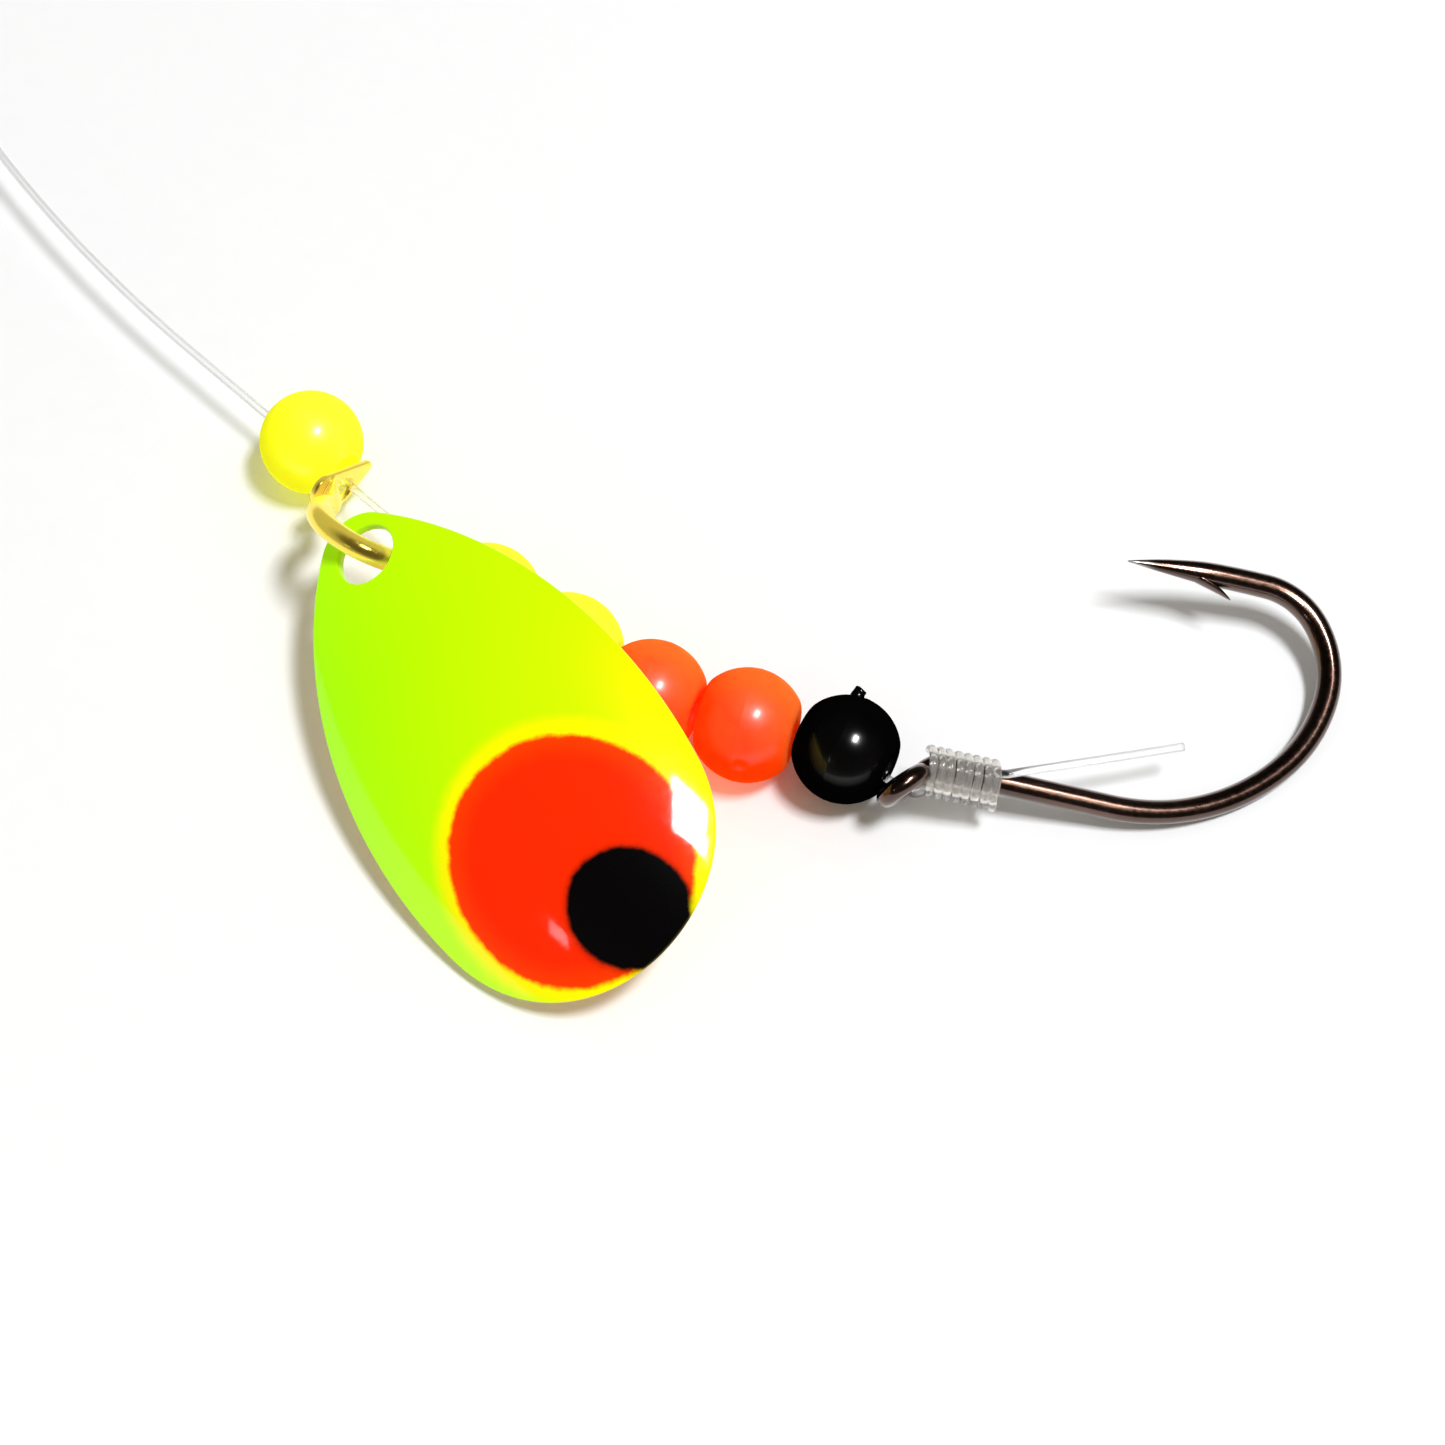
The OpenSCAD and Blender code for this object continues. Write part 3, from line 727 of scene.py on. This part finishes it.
def press_dimple(piece, radius, direction, width, depth, rim):
    """Dents the ball round a direction and raises a low rim round the dent."""
    direction = np.array(direction, float) / np.linalg.norm(direction)
    points = read_points(piece)
    from_centre = np.linalg.norm(points, axis=1)
    normals = points / from_centre[:, None]
    on_ball = from_centre > radius * 0.97
    away = np.linalg.norm(normals - direction, axis=1) * radius
    dent = np.where(on_ball, smooth(1 - away / width), 0) * depth
    ring = np.where(on_ball, np.exp(-((away - width * 1.1) / (width * 0.35)) ** 2), 0) * rim
    write_points(piece, points - normals * (dent - ring)[:, None])


def bead_place(station, offset):
    x, y, heading = pose_at(station)
    return (Matrix.Translation((x - offset * sin(heading), y + offset * cos(heading), 0))
            @ Matrix.Rotation(heading, 4, "Z"))


def make_beads():
    for part, slot, diameter, length, station, offset, dimple in BEADS:
        bead = lathe(part + "_ball", bead_profile(diameter, length), BEAD_SIDES)
        raise_seam(bead, diameter / 2)
        if dimple:
            press_dimple(bead, diameter / 2, *dimple)
        finish_piece(bead, bead_place(station, offset), MATERIALS[slot], part, slot, part)


def make_stub():
    """Short torn sprue on the side of the black bead."""
    radii = np.array([radius for _, _, radius in STUB])
    path = [(x, 0, height + STUB_BASE) for x, height, _ in STUB]
    stub = sweep("black_bead_stub", path, radii, radii * 0.85, sides=20, up=(1, 0, 0))
    place = (bead_place(BLACK_STATION, BLACK_OFFSET) @ rotation(-62, 0, 0)
             @ Matrix.Translation((-0.55, 0, 0)))
    finish_piece(stub, place, MATERIALS["black_bead"], "black_bead", "black_bead")


# ---------------------------------------------------------------- clevis
# Own frame: spin axis along X through both ears, bow towards +Y
BOW_X = 3.975               # middle of the bow
BOW_Y = 3.30                # where the legs meet the bow
BOW_RADIUS = 2.65
BOW_WIRE = 0.55             # half-width of the round wire
LEG_END_Y = 0.95
LEG_THIN = 0.17             # half-thickness of the hammered legs
LEG_SPREAD = 0.27           # how much wider hammering makes them
EAR_FRONT_X, EAR_REAR_X = -0.12, 6.46
EAR_POINTS = 120
EAR_HALF = 0.18             # half-thickness of an ear
EAR_HOLE = 0.635
EAR_BEVEL = 0.09
HOLE_BEVEL = 0.045


def hull_ring(discs):
    """Outline round a set of discs (y, z, radius), and the angle of each point."""
    ring, angles = [], [2 * pi * (i + 0.5) / EAR_POINTS for i in range(EAR_POINTS)]
    for a in angles:
        disc = max(discs, key=lambda d: d[0] * cos(a) + d[1] * sin(a) + d[2])
        ring.append((disc[0] + disc[2] * cos(a), disc[1] + disc[2] * sin(a)))
    return ring, angles


def ear_plate(name, x, reach):
    """Bevelled plate across X, drilled on the spin axis; reach scales its small lobe."""
    discs = [(0.05, 0, 0.96), (-1.30 * reach, -1.16 * reach, 0.33), (-0.08, -0.12, 0.92),
             (1.7, 0, 0.76)]
    outer, angles = hull_ring(discs)
    hole = [(EAR_HOLE * cos(a), EAR_HOLE * sin(a)) for a in angles]
    half, edge, lip = EAR_HALF, EAR_BEVEL, HOLE_BEVEL
    # loops round the section: outline, inset from it, offset along X
    sections = [(outer, edge, half), (outer, edge * 0.3, half - edge * 0.3),
                (outer, 0, half - edge), (outer, 0, -half + edge),
                (outer, edge * 0.3, -half + edge * 0.3), (outer, edge, -half),
                (hole, -lip, -half), (hole, 0, -half + lip), (hole, 0, half - lip),
                (hole, -lip, half)]
    verts = [(x + offset, p[0] - cos(a) * inset, p[1] - sin(a) * inset)
             for loop, inset, offset in sections for p, a in zip(loop, angles)]
    return new_object(name, verts, grid_faces(len(sections), EAR_POINTS, closed=True))


def clevis_leg(x_top, x_ear):
    """Rows from bow to ear: point, half-width, half-thickness."""
    rows = []
    for t in np.linspace(0, 1, 30):
        y = BOW_Y + (LEG_END_Y - BOW_Y) * t
        reached = min(1.0, t * 1.04)
        lean = 0.5 * (1 - cos(pi * reached)) * 0.6 + 0.4 * reached ** 1.5
        flat = float(smooth((t - 0.02) / 0.86))
        rows.append(((x_top + (x_ear - x_top) * lean, y, 0.0),
                     BOW_WIRE + LEG_SPREAD * flat, BOW_WIRE - (BOW_WIRE - LEG_THIN) * flat))
    return rows


def clevis_wire():
    """Round bow wire whose legs are hammered flat towards the ears."""
    rows = clevis_leg(BOW_X - BOW_RADIUS, EAR_FRONT_X)[::-1]
    for a in np.linspace(pi, 0, 64)[1:-1]:
        point = (BOW_X + BOW_RADIUS * cos(a), BOW_Y + BOW_RADIUS * sin(a), 0.0)
        rows.append((point, BOW_WIRE, BOW_WIRE))
    rows += clevis_leg(BOW_X + BOW_RADIUS, EAR_REAR_X)
    return sweep("clevis_wire", *zip(*rows), sides=36, up=(0, 0, 1))


def make_clevis():
    """Wire and ears fused into one body."""
    pieces = [clevis_wire(), ear_plate("ear_a", EAR_FRONT_X, reach=1.0),
              ear_plate("ear_b", EAR_REAR_X, reach=0.4)]
    joined = bmesh.new()
    for piece in pieces:
        fix_normals(piece)
        joined.from_mesh(piece.data)
    mesh = bpy.data.meshes.new("clevis_body")
    joined.to_mesh(mesh)
    joined.free()
    for piece in pieces:
        bpy.data.objects.remove(piece)
    clevis = bpy.data.objects.new("clevis_body", mesh)
    scene.collection.objects.link(clevis)
    fuse = clevis.modifiers.new("fuse", "REMESH")
    fuse.mode = "VOXEL"
    fuse.voxel_size = 0.036
    fuse.use_smooth_shade = True
    soften = clevis.modifiers.new("soften", "SMOOTH")
    soften.factor = 0.5
    soften.iterations = 14
    depsgraph = bpy.context.evaluated_depsgraph_get()
    fused = bpy.data.meshes.new_from_object(clevis.evaluated_get(depsgraph))
    clevis.modifiers.clear()
    clevis.data = fused
    to_metres(clevis, CLEVIS_PLACE)
    dress(clevis, MATERIALS["brass"], "clevis", "clevis_brass", "clevis")


# ---------------------------------------------------------------- blade
# Egg outline in the blade's XY plane: small end arc round the origin, wide end arc round
# (WIDE_X, 0), and a long arc along each side tangent to both
SMALL_RADIUS, WIDE_RADIUS, SIDE_RADIUS = 2.15, 7.17, 23.4
WIDE_X = 16.63
SHEET_HALF = 0.50 / 2       # half-thickness of the sheet
RIM_ROUND = 0.11
DISH_LENGTHWISE, DISH_CROSSWISE = 33.5, 13.7    # radii of the dish
HOLE_RADIUS, HOLE_CENTRE = 1.47, (0.257, 0.272)
OUTLINE_POINTS, HOLE_POINTS = 320, 96
GRID_STEP = 0.34

_small, _wide = SIDE_RADIUS - SMALL_RADIUS, SIDE_RADIUS - WIDE_RADIUS
SIDE_X = (_small * _small - _wide * _wide + WIDE_X * WIDE_X) / (2 * WIDE_X)
SIDE_Y = sqrt(_small * _small - SIDE_X * SIDE_X)
SMALL_ANGLE, WIDE_ANGLE = atan2(SIDE_Y, -SIDE_X), atan2(SIDE_Y, WIDE_X - SIDE_X)
SIDE_FROM = SIDE_X + SIDE_RADIUS * cos(SMALL_ANGLE)
SIDE_TO = SIDE_X + SIDE_RADIUS * cos(WIDE_ANGLE)
BLADE_MIDDLE = (WIDE_X + WIDE_RADIUS - SMALL_RADIUS) / 2
DISH_END = sqrt(DISH_LENGTHWISE ** 2 - (BLADE_MIDDLE + SMALL_RADIUS) ** 2) - DISH_LENGTHWISE


def egg_outline():
    """Evenly spaced rows round the outline: x, y, outward x, outward y."""
    def arc(x, y, radius, start, end, count):
        return [(x + radius * cos(t), y + radius * sin(t), cos(t), sin(t))
                for t in np.linspace(start, end, count, endpoint=False)]

    upper = (arc(0, 0, SMALL_RADIUS, pi, SMALL_ANGLE, 60)
             + arc(SIDE_X, -SIDE_Y, SIDE_RADIUS, SMALL_ANGLE, WIDE_ANGLE, 160)
             + arc(WIDE_X, 0, WIDE_RADIUS, WIDE_ANGLE, 0, 120)
             + [(WIDE_X + WIDE_RADIUS, 0, 1, 0)])
    lower = [(x, -y, out_x, -out_y) for x, y, out_x, out_y in reversed(upper[1:-1])]
    loop = np.array(upper + lower + upper[:1])
    run = distances(loop[:, :2])
    at = np.linspace(0, run[-1], OUTLINE_POINTS, endpoint=False)
    rows = np.stack([np.interp(at, run, loop[:, k]) for k in range(4)], 1)
    rows[:, 2:] /= np.linalg.norm(rows[:, 2:], axis=1)[:, None]
    return rows


def hole_outline():
    """Rows round the hole, as in egg_outline; out of the sheet is towards its centre."""
    angles = np.linspace(0, 2 * pi, HOLE_POINTS, endpoint=False)
    return np.stack([HOLE_CENTRE[0] + HOLE_RADIUS * np.cos(angles),
                     HOLE_CENTRE[1] + HOLE_RADIUS * np.sin(angles),
                     -np.cos(angles), -np.sin(angles)], 1)


def inset_loop(loop, inset):
    return loop[:, :2] - loop[:, 2:] * inset


def in_sheet(x, y, clear):
    """True where a point is more than clear inside the outline and outside the hole."""
    if x < SIDE_FROM:
        depth = SMALL_RADIUS - hypot(x, y)
    elif x > SIDE_TO:
        depth = WIDE_RADIUS - hypot(x - WIDE_X, y)
    else:
        depth = SIDE_RADIUS - hypot(x - SIDE_X, abs(y) + SIDE_Y)
    from_hole = hypot(x - HOLE_CENTRE[0], y - HOLE_CENTRE[1])
    return depth > clear and from_hole > HOLE_RADIUS + clear


def dish(x, y, height):
    """Points height above the dished middle surface over (x, y), and its normals there."""
    along = x - BLADE_MIDDLE
    drop = np.sqrt(DISH_LENGTHWISE ** 2 - along ** 2)
    radius = DISH_CROSSWISE - DISH_LENGTHWISE + drop
    rise = np.sqrt(radius ** 2 - y ** 2)
    share = drop / DISH_LENGTHWISE
    normals = np.stack([along / DISH_LENGTHWISE, share * y / radius, share * rise / radius], -1)
    return np.stack([x, y, rise - DISH_CROSSWISE - DISH_END], -1) + normals * height, normals


def triangulate_sheet(outline, hole):
    """Flat triangulation: the inset outline first, then the inset hole, then a grid."""
    x, y = np.meshgrid(np.arange(-SMALL_RADIUS, WIDE_X + WIDE_RADIUS, GRID_STEP),
                       np.arange(-8.2, 8.2, GRID_STEP * 0.97))
    x = x + (np.arange(x.shape[0]) % 2)[:, None] * GRID_STEP * 0.5
    grid = np.array([point for point in np.stack([x.ravel(), y.ravel()], 1)
                     if in_sheet(*point, RIM_ROUND + GRID_STEP * 0.45)])
    points = np.vstack([inset_loop(outline, RIM_ROUND), inset_loop(hole, RIM_ROUND), grid])
    edges = []
    for start, count in ((0, OUTLINE_POINTS), (OUTLINE_POINTS, HOLE_POINTS)):
        edges += [(start + i, start + (i + 1) % count) for i in range(count)]
    result = delaunay_2d_cdt([Vector(p) for p in points], edges, [], 0, 1e-7)
    flat, triangles = np.array([tuple(v) for v in result[0]]), result[2]
    assert len(flat) == len(points), "the triangulation added points"
    return flat, [t for t in triangles if in_sheet(*flat[list(t)].mean(0), RIM_ROUND * 0.5)]


def rim_sections():
    """Rounded rim from upper to lower face: normal's lean from the face, inset, height."""
    upper = [(lean, RIM_ROUND * (1 - sin(radians(turn))),
              SHEET_HALF - RIM_ROUND * (1 - cos(radians(turn))))
             for lean, turn in ((22, 30), (50, 60), (80, 90))]
    lower = [(180 - lean, inset, -height) for lean, inset, height in reversed(upper)]
    return [(radians(lean), inset, height) for lean, inset, height in upper + lower]


def blade_sheet():
    """The dished sheet with rounded rim and hole, and its vertex normals.

    Attributes: bx, by place in the outline; side 1 painted; edge 0 on the faces."""
    outline, hole = egg_outline(), hole_outline()
    flat, triangles = triangulate_sheet(outline, hole)
    layers, faces = [], []

    def add(flat_points, height, side, edge=0.0):
        """Adds a layer; returns the index of its first vertex."""
        x, y = flat_points.T
        start = sum(len(layer[0]) for layer in layers)
        layers.append([*dish(x, y, height), x, y, np.full(len(x), side), np.full(len(x), edge)])
        return start

    def lean_normals(angle, outward):
        """Leans the last layer's normals out of the sheet."""
        normals = layers[-1][1]
        out = np.concatenate([outward, np.zeros((len(outward), 1))], 1)
        out = out - (out * normals).sum(1)[:, None] * normals
        out /= np.linalg.norm(out, axis=1)[:, None]
        layers[-1][1] = normals * cos(angle) + out * sin(angle)

    def bridge(before, after, count, flip):
        for i in range(count):
            j = (i + 1) % count
            first, second = (i, j) if flip else (j, i)
            faces.append((before + first, after + first, after + second, before + second))

    top = add(flat, SHEET_HALF, side=1.0)
    bottom = add(flat, -SHEET_HALF, side=0.0)
    layers[-1][1] = -layers[-1][1]
    faces += [(top + a, top + b, top + c) for a, b, c in triangles]
    faces += [(bottom + c, bottom + b, bottom + a) for a, b, c in triangles]
    paint_limit = -SHEET_HALF + RIM_ROUND * 0.8
    for loop, base, flip in ((outline, 0, False), (hole, OUTLINE_POINTS, True)):
        before = top + base
        for lean, inset, height in rim_sections():
            after = add(inset_loop(loop, inset), height,
                        side=1.0 if height > paint_limit else 0.0, edge=sin(lean) * 0.9)
            lean_normals(lean, loop[:, 2:])
            bridge(before, after, len(loop), flip)
            before = after
        bridge(before, bottom + base, len(loop), flip)
    points, normals, *values = (np.concatenate(column) for column in zip(*layers))
    blade = new_object("blade_sheet", points, faces)
    for name, value in zip(("bx", "by", "side", "edge"), values):
        add_attribute(blade, name, value)
    return blade, normals


def make_blade():
    blade, normals = blade_sheet()
    fix_normals(blade)
    to_metres(blade, BLADE_PLACE)
    turn = BLADE_PLACE.to_3x3()
    blade.data.normals_split_custom_set_from_vertices([tuple(turn @ Vector(n)) for n in normals])
    dress(blade, MATERIALS["blade"], "blade", "blade_paint",
          "blade", "blade_spot_orange", "blade_spot_black")


# ---------------------------------------------------------------- hook
SHANK_START = 0.30          # where the eye's run-out has joined the shank
# Arcs of the bend: length, degrees turned
BEND = [(5.15, 29.3), (3.81, 21.4), (3.98, 31.3), (3.74, 45.1), (3.09, 52.3)]
POINT_CURVATURE = radians(7.0) / 6.75
# Ground point: distance from the end of the bend, radius
POINT = [(0.0, 0.575), (0.8, 0.57), (1.6, 0.565), (2.4, 0.555), (2.9, 0.54), (3.3, 0.515),
         (3.7, 0.475), (4.1, 0.43), (4.5, 0.38), (4.9, 0.33), (5.3, 0.275), (5.6, 0.23),
         (5.9, 0.18), (6.15, 0.14), (6.4, 0.095), (6.58, 0.06), (6.68, 0.04), (6.73, 0.025)]
BARB_AT = 2.85              # distance of the barb's origin from the end of the bend
# Barb from root to free tip: towards the point's tip, inwards, half-height, half-width
BARB = [(1.10, 0.10, 0.20, 0.30), (0.60, 0.26, 0.22, 0.36), (0.15, 0.42, 0.20, 0.36),
        (-0.30, 0.60, 0.16, 0.31), (-0.70, 0.79, 0.11, 0.23), (-1.00, 0.96, 0.06, 0.14),
        (-1.20, 1.08, 0.02, 0.05)]

BEND_POSES = [advance(SHANK_POSE, SHANK_LENGTH)]
for _length, _turn in BEND:
    BEND_POSES.append(advance(BEND_POSES[-1], _length, radians(_turn) / _length))
POINT_POSE = BEND_POSES[-1]


def eye_rows():
    """The open ring of the eye and its run-out onto the shank."""
    def on_ring(a):
        return EYE_CENTRE + EYE_RADIUS * (cos(a) * EYE_ACROSS + sin(a) * np.array([0, 0, 1.0]))

    rows = [(on_ring(a), EYE_WIRE_RADIUS, EYE_WIRE_RADIUS)
            for a in np.linspace(radians(38), radians(340), 64)]
    control = EYE_CENTRE + np.array([0.80, 0.87, 0.05])
    joined = flat_point(advance(SHANK_POSE, SHANK_START))
    for t in np.linspace(0, 1, 9)[1:-1]:
        radius = EYE_WIRE_RADIUS + (WIRE_RADIUS - EYE_WIRE_RADIUS) * t
        rows.append((bezier(on_ring(radians(340)), control, joined, t), radius, radius))
    return rows


def bend_rows():
    """The bend, forged a little flat round its middle."""
    rows, run = [], 0.0
    total = sum(length for length, _ in BEND)
    for pose, (length, turn) in zip(BEND_POSES, BEND):
        for s in np.linspace(0, length, max(6, int(length / 0.2)), endpoint=False):
            share = (run + s) / total
            forged = float(smooth(share / 0.18) * smooth((1 - share) / 0.25))
            rows.append((flat_point(advance(pose, s, radians(turn) / length)),
                         WIRE_RADIUS * (1 - 0.05 * forged), WIRE_RADIUS * (1 + 0.04 * forged)))
        run += length
    return rows


def make_hook():
    """One wire from the eye to the point; the attribute "to_tip" is the length left."""
    sides = 32
    rows = eye_rows()
    rows += [(flat_point(advance(SHANK_POSE, s)), WIRE_RADIUS, WIRE_RADIUS)
             for s in np.linspace(SHANK_START, SHANK_LENGTH, 34, endpoint=False)]
    rows += bend_rows()
    rows += [(flat_point(advance(POINT_POSE, s, POINT_CURVATURE)), radius, radius)
             for s, radius in POINT]
    hook = sweep("hook_wire", *zip(*rows), sides=sides, up=(1, 0, 0))
    run = distances(np.array([row[0] for row in rows]))
    to_tip = np.repeat(run[-1] - run, sides)
    add_attribute(hook, "to_tip", np.concatenate([to_tip, [to_tip[0], 0.0]]))
    finish_piece(hook, HOOK_PLACE, MATERIALS["hook"], "hook", "hook_black_nickel", "hook")
    return hook


def make_barb():
    """Sliver raised from the inside of the point, its free edge towards the bend."""
    pose = advance(POINT_POSE, BARB_AT, POINT_CURVATURE)
    to_tip = heading_vector(pose)
    inwards = np.array([-sin(pose[2]), cos(pose[2]), 0.0])
    path = [flat_point(pose) + to_tip * ahead + inwards * inside for ahead, inside, _, _ in BARB]
    barb = sweep("hook_barb", path, [row[3] for row in BARB], [row[2] for row in BARB], sides=20)
    # far enough from the tip to miss its bright colour
    add_attribute(barb, "to_tip", np.full(len(barb.data.vertices), 3.0))
    finish_piece(barb, HOOK_PLACE, MATERIALS["hook"], "hook", "hook_black_nickel")
    return barb


# ---------------------------------------------------------------- snell
WRAP_TURNS = 7.6
WRAP_STEPS = 48             # steps in one turn
WRAP_START_X, WRAP_PITCH = -3.46, 0.43
TAG_ROOT = [(-0.42, 0.40, 0.80), (-0.20, 0.42, 0.83)]       # dives under the last wrap
TAG_CURVE = np.array([(0.05, 0.46, 0.86), (3.4, 1.62, 1.25), (7.85, 3.30, 1.32)])


def wrap_point(turns):
    """Point on the coil, which hugs the shank and the line together."""
    angle = 2 * pi * turns
    x = (WRAP_START_X + WRAP_PITCH * turns
         + 0.02 * sin(turns * 2.3) + 0.012 * sin(turns * 5.1 + 1))
    centre, radius = max([(0.0, WIRE_RADIUS), (LINE_Y, LINE_RADIUS)],
                         key=lambda circle: circle[0] * cos(angle) + circle[1])
    radius = radius + LINE_RADIUS + LINE_GAP
    return np.array([x, shank_y(x) + centre + radius * cos(angle), radius * sin(angle)])


def make_snell():
    """Wraps round shank and line, and the cut tag end."""
    coil = [wrap_point(i / WRAP_STEPS) for i in range(int(WRAP_TURNS * WRAP_STEPS) + 1)]
    wraps = sweep("snell_coil", *rounded_ends(coil, LINE_RADIUS * 0.99), sides=16, up=(1, 0, 0))
    finish_piece(wraps, HOOK_PLACE, MATERIALS["snell"], "hook", "monofilament", "snell_wraps")

    path = TAG_ROOT + [bezier(*TAG_CURVE, t) for t in np.linspace(0, 1, 40)]
    tag = sweep("snell_tag", path, LINE_RADIUS, sides=16)
    finish_piece(tag, HOOK_PLACE, MATERIALS["line"], "hook", "monofilament", "tag_end")


# ---------------------------------------------------------------- floor, camera, lights, world
FLOOR_Z, FLOOR_HALF = -2.67, 900
VIEW_AZIMUTH, VIEW_ELEVATION = radians(37.5), radians(60.0)
TARGET = Vector((61.94, -7.07, -2.65))
CAMERA_DISTANCE = 140.19
RIGHT = Vector((cos(VIEW_AZIMUTH), sin(VIEW_AZIMUTH), 0))
AWAY = Vector((-sin(VIEW_AZIMUTH), cos(VIEW_AZIMUTH), 0))
BACK = Vector((sin(VIEW_AZIMUTH) * cos(VIEW_ELEVATION),
               -cos(VIEW_AZIMUTH) * cos(VIEW_ELEVATION), sin(VIEW_ELEVATION)))


def make_floor():
    corners = [(x * FLOOR_HALF, y * FLOOR_HALF, FLOOR_Z)
               for x, y in ((-1, -1), (1, -1), (1, 1), (-1, 1))]
    floor = new_object("floor", corners, [(0, 1, 2, 3)], shade_smooth=False)
    to_metres(floor)
    set_material(floor, floor_material())


def make_camera():
    data = bpy.data.cameras.new("camera")
    data.sensor_width = 36
    data.lens = 74.740484
    data.clip_start = 0.005
    data.clip_end = 20
    camera = bpy.data.objects.new("camera", data)
    scene.collection.objects.link(camera)
    location = (TARGET + BACK * CAMERA_DISTANCE) * MM
    columns = (RIGHT, BACK.cross(RIGHT), BACK, location)
    camera.matrix_world = Matrix([[column[i] for column in columns] for i in range(3)]
                                 + [[0, 0, 0, 1]])
    scene.camera = camera


def area_light(name, towards, distance, size, power, colour=(1, 1, 1)):
    """Rectangle facing the target; towards is (right, away, up) as seen by the camera.

    Distance and size are metres, power is watts."""
    data = bpy.data.lights.new(name, "AREA")
    data.shape = "RECTANGLE"
    data.size, data.size_y = size
    data.energy = power
    data.color = colour
    light = bpy.data.objects.new(name, data)
    scene.collection.objects.link(light)
    direction = (RIGHT * towards[0] + AWAY * towards[1] + Vector((0, 0, towards[2]))).normalized()
    light.location = TARGET * MM + direction * distance
    light.rotation_euler = direction.to_track_quat("Z", "Y").to_euler()
    return light


def make_lights(hook_pieces):
    area_light("key", towards=(0.31, -0.115, 0.943), distance=0.55, size=(0.130, 0.082),
               power=2.46, colour=(0.985, 1.0, 1.03))
    area_light("window", towards=(-0.574, -0.675, 0.464), distance=0.35, size=(0.024, 0.024),
               power=0.012)
    # only the hook sees this one: the long glint down its shank
    strip = area_light("strip", towards=(0.205, -0.42, 0.885), distance=0.45,
                       size=(0.110, 0.034), power=0.75, colour=(1.0, 0.95, 0.86))
    receivers = bpy.data.collections.new("strip_receivers")
    for piece in hook_pieces:
        receivers.objects.link(piece)
    strip.light_linking.receiver_collection = receivers


def make_world():
    """Even warm light; reflections see a dim room that darkens overhead."""
    world = bpy.data.worlds.new("studio")
    scene.world = world
    sky = Nodes(world, "OutputWorld")
    even = sky.node("Background", {"Color": (1.0, 0.965, 0.90), "Strength": 0.37})
    incoming = sky.node("NewGeometry").outputs["Incoming"]
    axes = sky.node("SeparateXYZ", {0: incoming})
    upward = sky.times(axes.outputs["Z"], factor=-1.0)
    room = sky.ramp(upward, stops=[(0.0, (0.10, 0.095, 0.09)), (0.28, (0.04, 0.037, 0.034)),
                                   (0.75, (0.014, 0.013, 0.012))])
    dim = sky.node("Background", {"Color": room, "Strength": 1.0})
    glossy = sky.node("LightPath").outputs["Is Glossy Ray"]
    sky.surface(sky.mix_shader(glossy, even.outputs[0], dim.outputs[0]))


# ---------------------------------------------------------------- build
make_leader()
make_beads()
make_stub()
make_clevis()
make_blade()
hook_pieces = [make_hook(), make_barb()]
make_snell()
make_floor()
make_camera()
make_lights(hook_pieces)
make_world()
scene.view_settings.view_transform = "Standard"
scene.view_settings.look = "None"
scene.view_settings.exposure = 0.0
